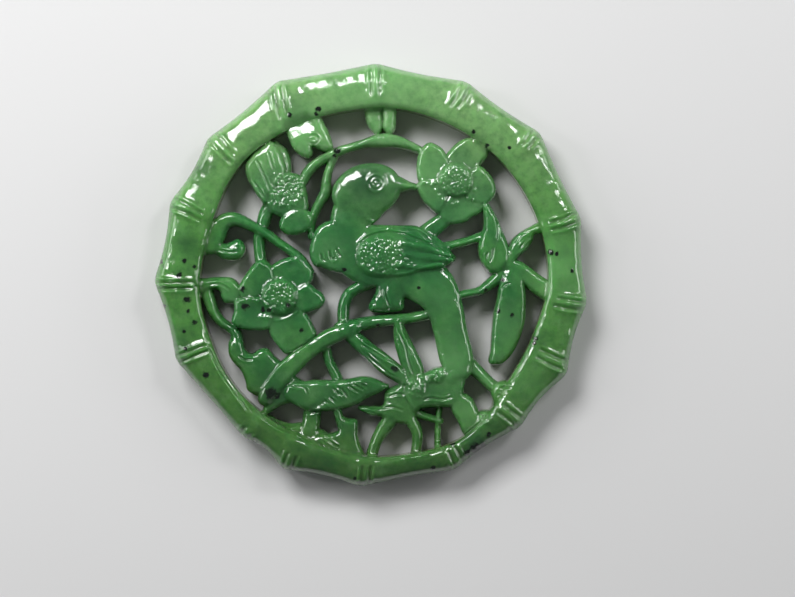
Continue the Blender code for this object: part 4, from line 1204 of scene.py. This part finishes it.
def carving():
    """The whole closed surface, with what the stone's colours need at each point."""
    forms = [ring()] + motifs()
    lines, ridges = lines_of(ENGRAVED), lines_of(RIDGES)
    points, edges = front_plan(forms, lines + ridges)
    spots, faces, _ = triangulate(points, edges, merge)
    keep = without_pinches(faces, in_stone(forms, spots[faces].mean(axis=1)), len(spots))
    used, faces = np.unique(faces[keep], return_inverse=True)
    spots, faces = spots[used], faces.reshape(-1, 3)
    rim = borders(faces, len(spots))
    rim_points = np.unique(rim)
    place = np.full(len(spots), -1)
    place[rim_points] = np.arange(len(rim_points))
    at_rim = place >= 0

    top = settled(highest(forms, spots), faces, at_rim, settle_rounds)
    top = top + front_relief(spots, lines, ridges) * ~at_rim
    back_spots, back_faces, back_place = back_net(forms, spots[rim_points], place[rim])
    apart = in_pieces(
        back_spots,
        lambda some: to_segments(some, spots[rim[:, 0]], spots[rim[:, 1]])[0].min(axis=1),
        size=400,
    )
    base = back_height(back_spots, apart)

    rim_spots, rim_top = spots[rim_points], top[rim_points]
    rim_base = base[back_place]
    levels = rim_base + (rim_top - rim_base) * (1 - np.array(WALL_ROWS)[:, None])
    rows = [np.column_stack([rim_spots, level]) for level in levels]
    front = np.column_stack([spots, top])
    back = np.column_stack([back_spots, base])
    points = np.vstack([front] + rows + [back])
    first_row, back_first = len(front), len(front) + len(rows) * len(rim_points)
    wall_rings = np.arange(first_row, back_first).reshape(len(rows), -1)
    rings = [rim_points, *wall_rings, back_first + back_place]
    a, b = place[rim[:, 0]], place[rim[:, 1]]
    walls = []
    for upper, lower in zip(rings[:-1], rings[1:]):
        walls.append(np.stack([upper[b], upper[a], lower[a]], axis=1))
        walls.append(np.stack([upper[b], lower[a], lower[b]], axis=1))
    triangles = np.vstack([faces] + walls + [back_faces[:, ::-1] + back_first])
    used, triangles = np.unique(triangles, return_inverse=True)
    radius, angle = polar(rim_spots)
    wall = np.zeros(len(points))
    wall[first_row:back_first] = np.tile(radius < ring_outer(angle) - inner_wall_from, len(rows))
    depth = np.zeros(len(points))
    depth[back_first:] = 1
    points, wall, depth = points[used], wall[used], depth[used]
    points[:, :2] -= (points[:, :2].max(axis=0) + points[:, :2].min(axis=0)) / 2
    return points, triangles.reshape(-1, 3), wall, depth


def in_clouds(points, clouds):
    """How strongly each point lies in a cloud: its strength on a bell curve of the distance to its middle."""
    clouds = np.array(clouds)
    apart = np.linalg.norm(points[:, None, :2] - clouds[:, :2] * unit, axis=2) / (clouds[:, 2] * unit)
    return (clouds[:, 3] * np.exp(-(apart**2))).max(axis=1)


def in_flecks(points, depth):
    """How strongly each point of the front lies in a dark fleck, falling evenly with the distance to it."""
    flecks = np.array(FLECKS) * unit
    apart = np.linalg.norm(points[:, None, :2] - flecks[:, :2], axis=2) / (flecks[:, 2] * fleck_spread)
    return (1 - apart).max(axis=1).clip(0) * (1 - depth)


def pendant():
    """The carved piece, with the values that its stone reads at each point."""
    points, triangles, wall, depth = carving()
    mesh = bpy.data.meshes.new("carved_pendant")
    mesh.from_pydata((points * MM).tolist(), [], triangles.tolist())
    mesh.shade_smooth()
    mesh.set_sharp_from_angle(angle=math.radians(sharp_angle))
    shares = {
        "wall": wall,
        "fleck": in_flecks(points, depth),
        "cloud": in_clouds(points, CLOUDS),
        # pale: paler patches, partly painted light on the top and right of the ring
        "pale": in_clouds(points, PALE_PATCHES_AND_PAINTED_LIGHT),
    }
    for name, values in shares.items():
        layer = mesh.attributes.new(name, "FLOAT", "POINT")
        layer.data.foreach_set("value", values.astype(np.float32))
    piece = bpy.data.objects.new("carved_pendant", mesh)
    bpy.context.scene.collection.objects.link(piece)
    return piece


def node(tree, kind, **values):
    """A shader node with its properties and plain input values set."""
    made = tree.nodes.new(kind)
    for name, value in values.items():
        if name in made.inputs:
            made.inputs[name].default_value = value
        else:
            setattr(made, name, value)
    return made


def ramp(tree, source, stops):
    """A colour that follows the source's value from stop to stop."""
    made = node(tree, "ShaderNodeValToRGB")
    elements = made.color_ramp.elements
    while len(elements) < len(stops):
        elements.new(0.5)
    for element, (place, colour) in zip(elements, stops):
        element.position = place
        element.color = (*colour, 1)
    tree.links.new(source, made.inputs["Fac"])
    return made.outputs["Color"]


def mixed(tree, share, colour, tint):
    """The colour with that share of the tint in it."""
    made = node(tree, "ShaderNodeMix", data_type="RGBA", blend_type="MIX")
    tree.links.new(share, made.inputs["Factor"])
    tree.links.new(colour, made.inputs[6])
    made.inputs[7].default_value = (*tint, 1)
    return made.outputs[2]


def maths(tree, kind, *values, clamp=False):
    """One sum of sockets and plain numbers."""
    made = node(tree, "ShaderNodeMath", operation=kind, use_clamp=clamp)
    for socket, value in zip(made.inputs, values):
        if isinstance(value, bpy.types.NodeSocket):
            tree.links.new(value, socket)
        else:
            socket.default_value = value
    return made.outputs[0]


def noise(tree, place, scale, detail, rough):
    """Cloudy noise over the object, from 0 to 1."""
    made = node(tree, "ShaderNodeTexNoise", Scale=scale, Detail=detail, Roughness=rough)
    tree.links.new(place, made.inputs["Vector"])
    return made.outputs["Fac"]


def attribute(tree, name):
    """One of the values that the surface carries at each point."""
    return node(tree, "ShaderNodeAttribute", attribute_name=name).outputs["Fac"]


def jade():
    """Polished green stone: deeper green inside, yellower on the ring, clouded, with black flecks; with
    painted shade at the bottom, painted light at the top and on paler patches, and a painted warm glow on the
    inner walls.
    """
    material = bpy.data.materials.new("jade_polished")
    material.use_nodes = True
    tree = material.node_tree
    surface = tree.nodes["Principled BSDF"]
    place = node(tree, "ShaderNodeTexCoord").outputs["Object"]
    grain = {name: noise(tree, place, *values) for name, values in GRAIN.items()}
    length = node(tree, "ShaderNodeVectorMath", operation="LENGTH")
    tree.links.new(place, length.inputs[0])
    parts = node(tree, "ShaderNodeSeparateXYZ")
    tree.links.new(place, parts.inputs[0])
    outward = maths(tree, "MULTIPLY", length.outputs["Value"], 1 / (ring_radius * MM))
    upward = maths(tree, "MULTIPLY_ADD", parts.outputs["Y"], 0.5 / (ring_radius * MM), 0.5)
    colour = ramp(tree, outward, STONE)
    # Painted shade darkens the bottom and painted light brightens the top, by the upward tints
    for source, strengths, tint in TINTS:
        share = ramp(tree, {**grain, "upward": upward}[source], [(at, (grey,) * 3) for at, grey in strengths])
        colour = mixed(tree, share, colour, tint)
    wall, near_fleck = attribute(tree, "wall"), attribute(tree, "fleck")
    # Paler patches, partly painted light, and darker clouding in the stone
    for name, (strength, tint) in (("pale", PALE_AND_PAINTED_LIGHT_TINT), ("cloud", CLOUD_TINT)):
        colour = mixed(tree, maths(tree, "MULTIPLY", attribute(tree, name), strength), colour, tint)
    ragged = maths(tree, "MULTIPLY", maths(tree, "SUBTRACT", grain["ragged"], 0.5), fleck_ragged)
    dark = maths(tree, "SUBTRACT", maths(tree, "ADD", near_fleck, ragged), fleck_from)
    dark = maths(tree, "MULTIPLY", dark, fleck_steepness, clamp=True)
    fleck = maths(tree, "MULTIPLY", dark, maths(tree, "GREATER_THAN", near_fleck, fleck_least))
    colour = mixed(tree, fleck, colour, fleck_colour)
    # Painted light: a warm glow painted on the inner walls
    colour = mixed(tree, maths(tree, "MULTIPLY", wall, PAINTED_WALL_GLOW[0]), colour, PAINTED_WALL_GLOW[1])
    tree.links.new(colour, surface.inputs["Base Color"])
    clear = maths(tree, "MULTIPLY_ADD", fleck, -clearness, clearness)
    tree.links.new(clear, surface.inputs["Transmission Weight"])
    rough = maths(tree, "ADD", maths(tree, "MULTIPLY", grain["fine"], grain_rough), polish)
    rough = maths(tree, "ADD", rough, maths(tree, "MULTIPLY", wall, wall_rough))
    tree.links.new(rough, surface.inputs["Roughness"])
    bump = node(tree, "ShaderNodeBump", Strength=wave_strength, Distance=wave_height)
    tree.links.new(grain["polish"], bump.inputs["Height"])
    tree.links.new(bump.outputs["Normal"], surface.inputs["Normal"])
    surface.inputs["IOR"].default_value = 1.61
    surface.inputs["Subsurface Weight"].default_value = 1.0
    surface.inputs["Subsurface Radius"].default_value = (0.5, 1.0, 0.55)
    surface.inputs["Subsurface Scale"].default_value = 0.0022
    surface.inputs["Coat Weight"].default_value = 0.3
    surface.inputs["Coat Roughness"].default_value = 0.04
    surface.inputs["Coat IOR"].default_value = 1.6
    return material


def softbox(name, place, size, energy, aim=(0, 0, 0.003)):
    """A soft rectangular light turned towards the pendant."""
    lamp = bpy.data.lights.new(name, "AREA")
    lamp.shape = "RECTANGLE"
    lamp.size, lamp.size_y = size
    lamp.energy = energy
    holder = bpy.data.objects.new(name, lamp)
    holder.location = place
    holder.rotation_euler = (Vector(aim) - Vector(place)).to_track_quat("-Z", "Y").to_euler()
    bpy.context.scene.collection.objects.link(holder)


def table():
    """A plain pale table top under the pendant."""
    x, y = np.meshgrid([-table_half, table_half], [-table_half, table_half])
    mesh = bpy.data.meshes.new("table_top")
    corners = np.stack([x, y, np.zeros_like(x)], axis=-1).reshape(-1, 3)
    mesh.from_pydata(corners.tolist(), [], [(0, 1, 3, 2)])
    top = bpy.data.objects.new("table_top", mesh)
    bpy.context.scene.collection.objects.link(top)
    material = bpy.data.materials.new("pale_table")
    material.use_nodes = True
    surface = material.node_tree.nodes["Principled BSDF"]
    surface.inputs["Base Color"].default_value = (0.6, 0.6, 0.6, 1)
    surface.inputs["Roughness"].default_value = 0.8
    mesh.materials.append(material)


def studio():
    """The soft boxes and the room's even light."""
    for box in SOFTBOXES:
        softbox(*box)
    bpy.context.scene.view_settings.view_transform = "Standard"
    world = bpy.context.scene.world or bpy.data.worlds.new("studio")
    bpy.context.scene.world = world
    world.use_nodes = True
    background = world.node_tree.nodes["Background"]
    background.inputs["Color"].default_value = (0.97, 0.98, 1.0, 1)
    background.inputs["Strength"].default_value = room_light


def camera():
    """Straight down from 360 mm, so that the pendant sits left of and above the frame's middle."""
    lens = bpy.data.cameras.new("camera")
    lens.sensor_width = 36
    lens.lens = focal_length
    lens.clip_start = 0.005
    eye = bpy.data.objects.new("camera", lens)
    eye.location = camera_place
    bpy.context.scene.collection.objects.link(eye)
    bpy.context.scene.camera = eye


camera()
table()
studio()
piece = pendant()
piece.data.materials.append(jade())
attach(piece, "root")
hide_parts("pendant")
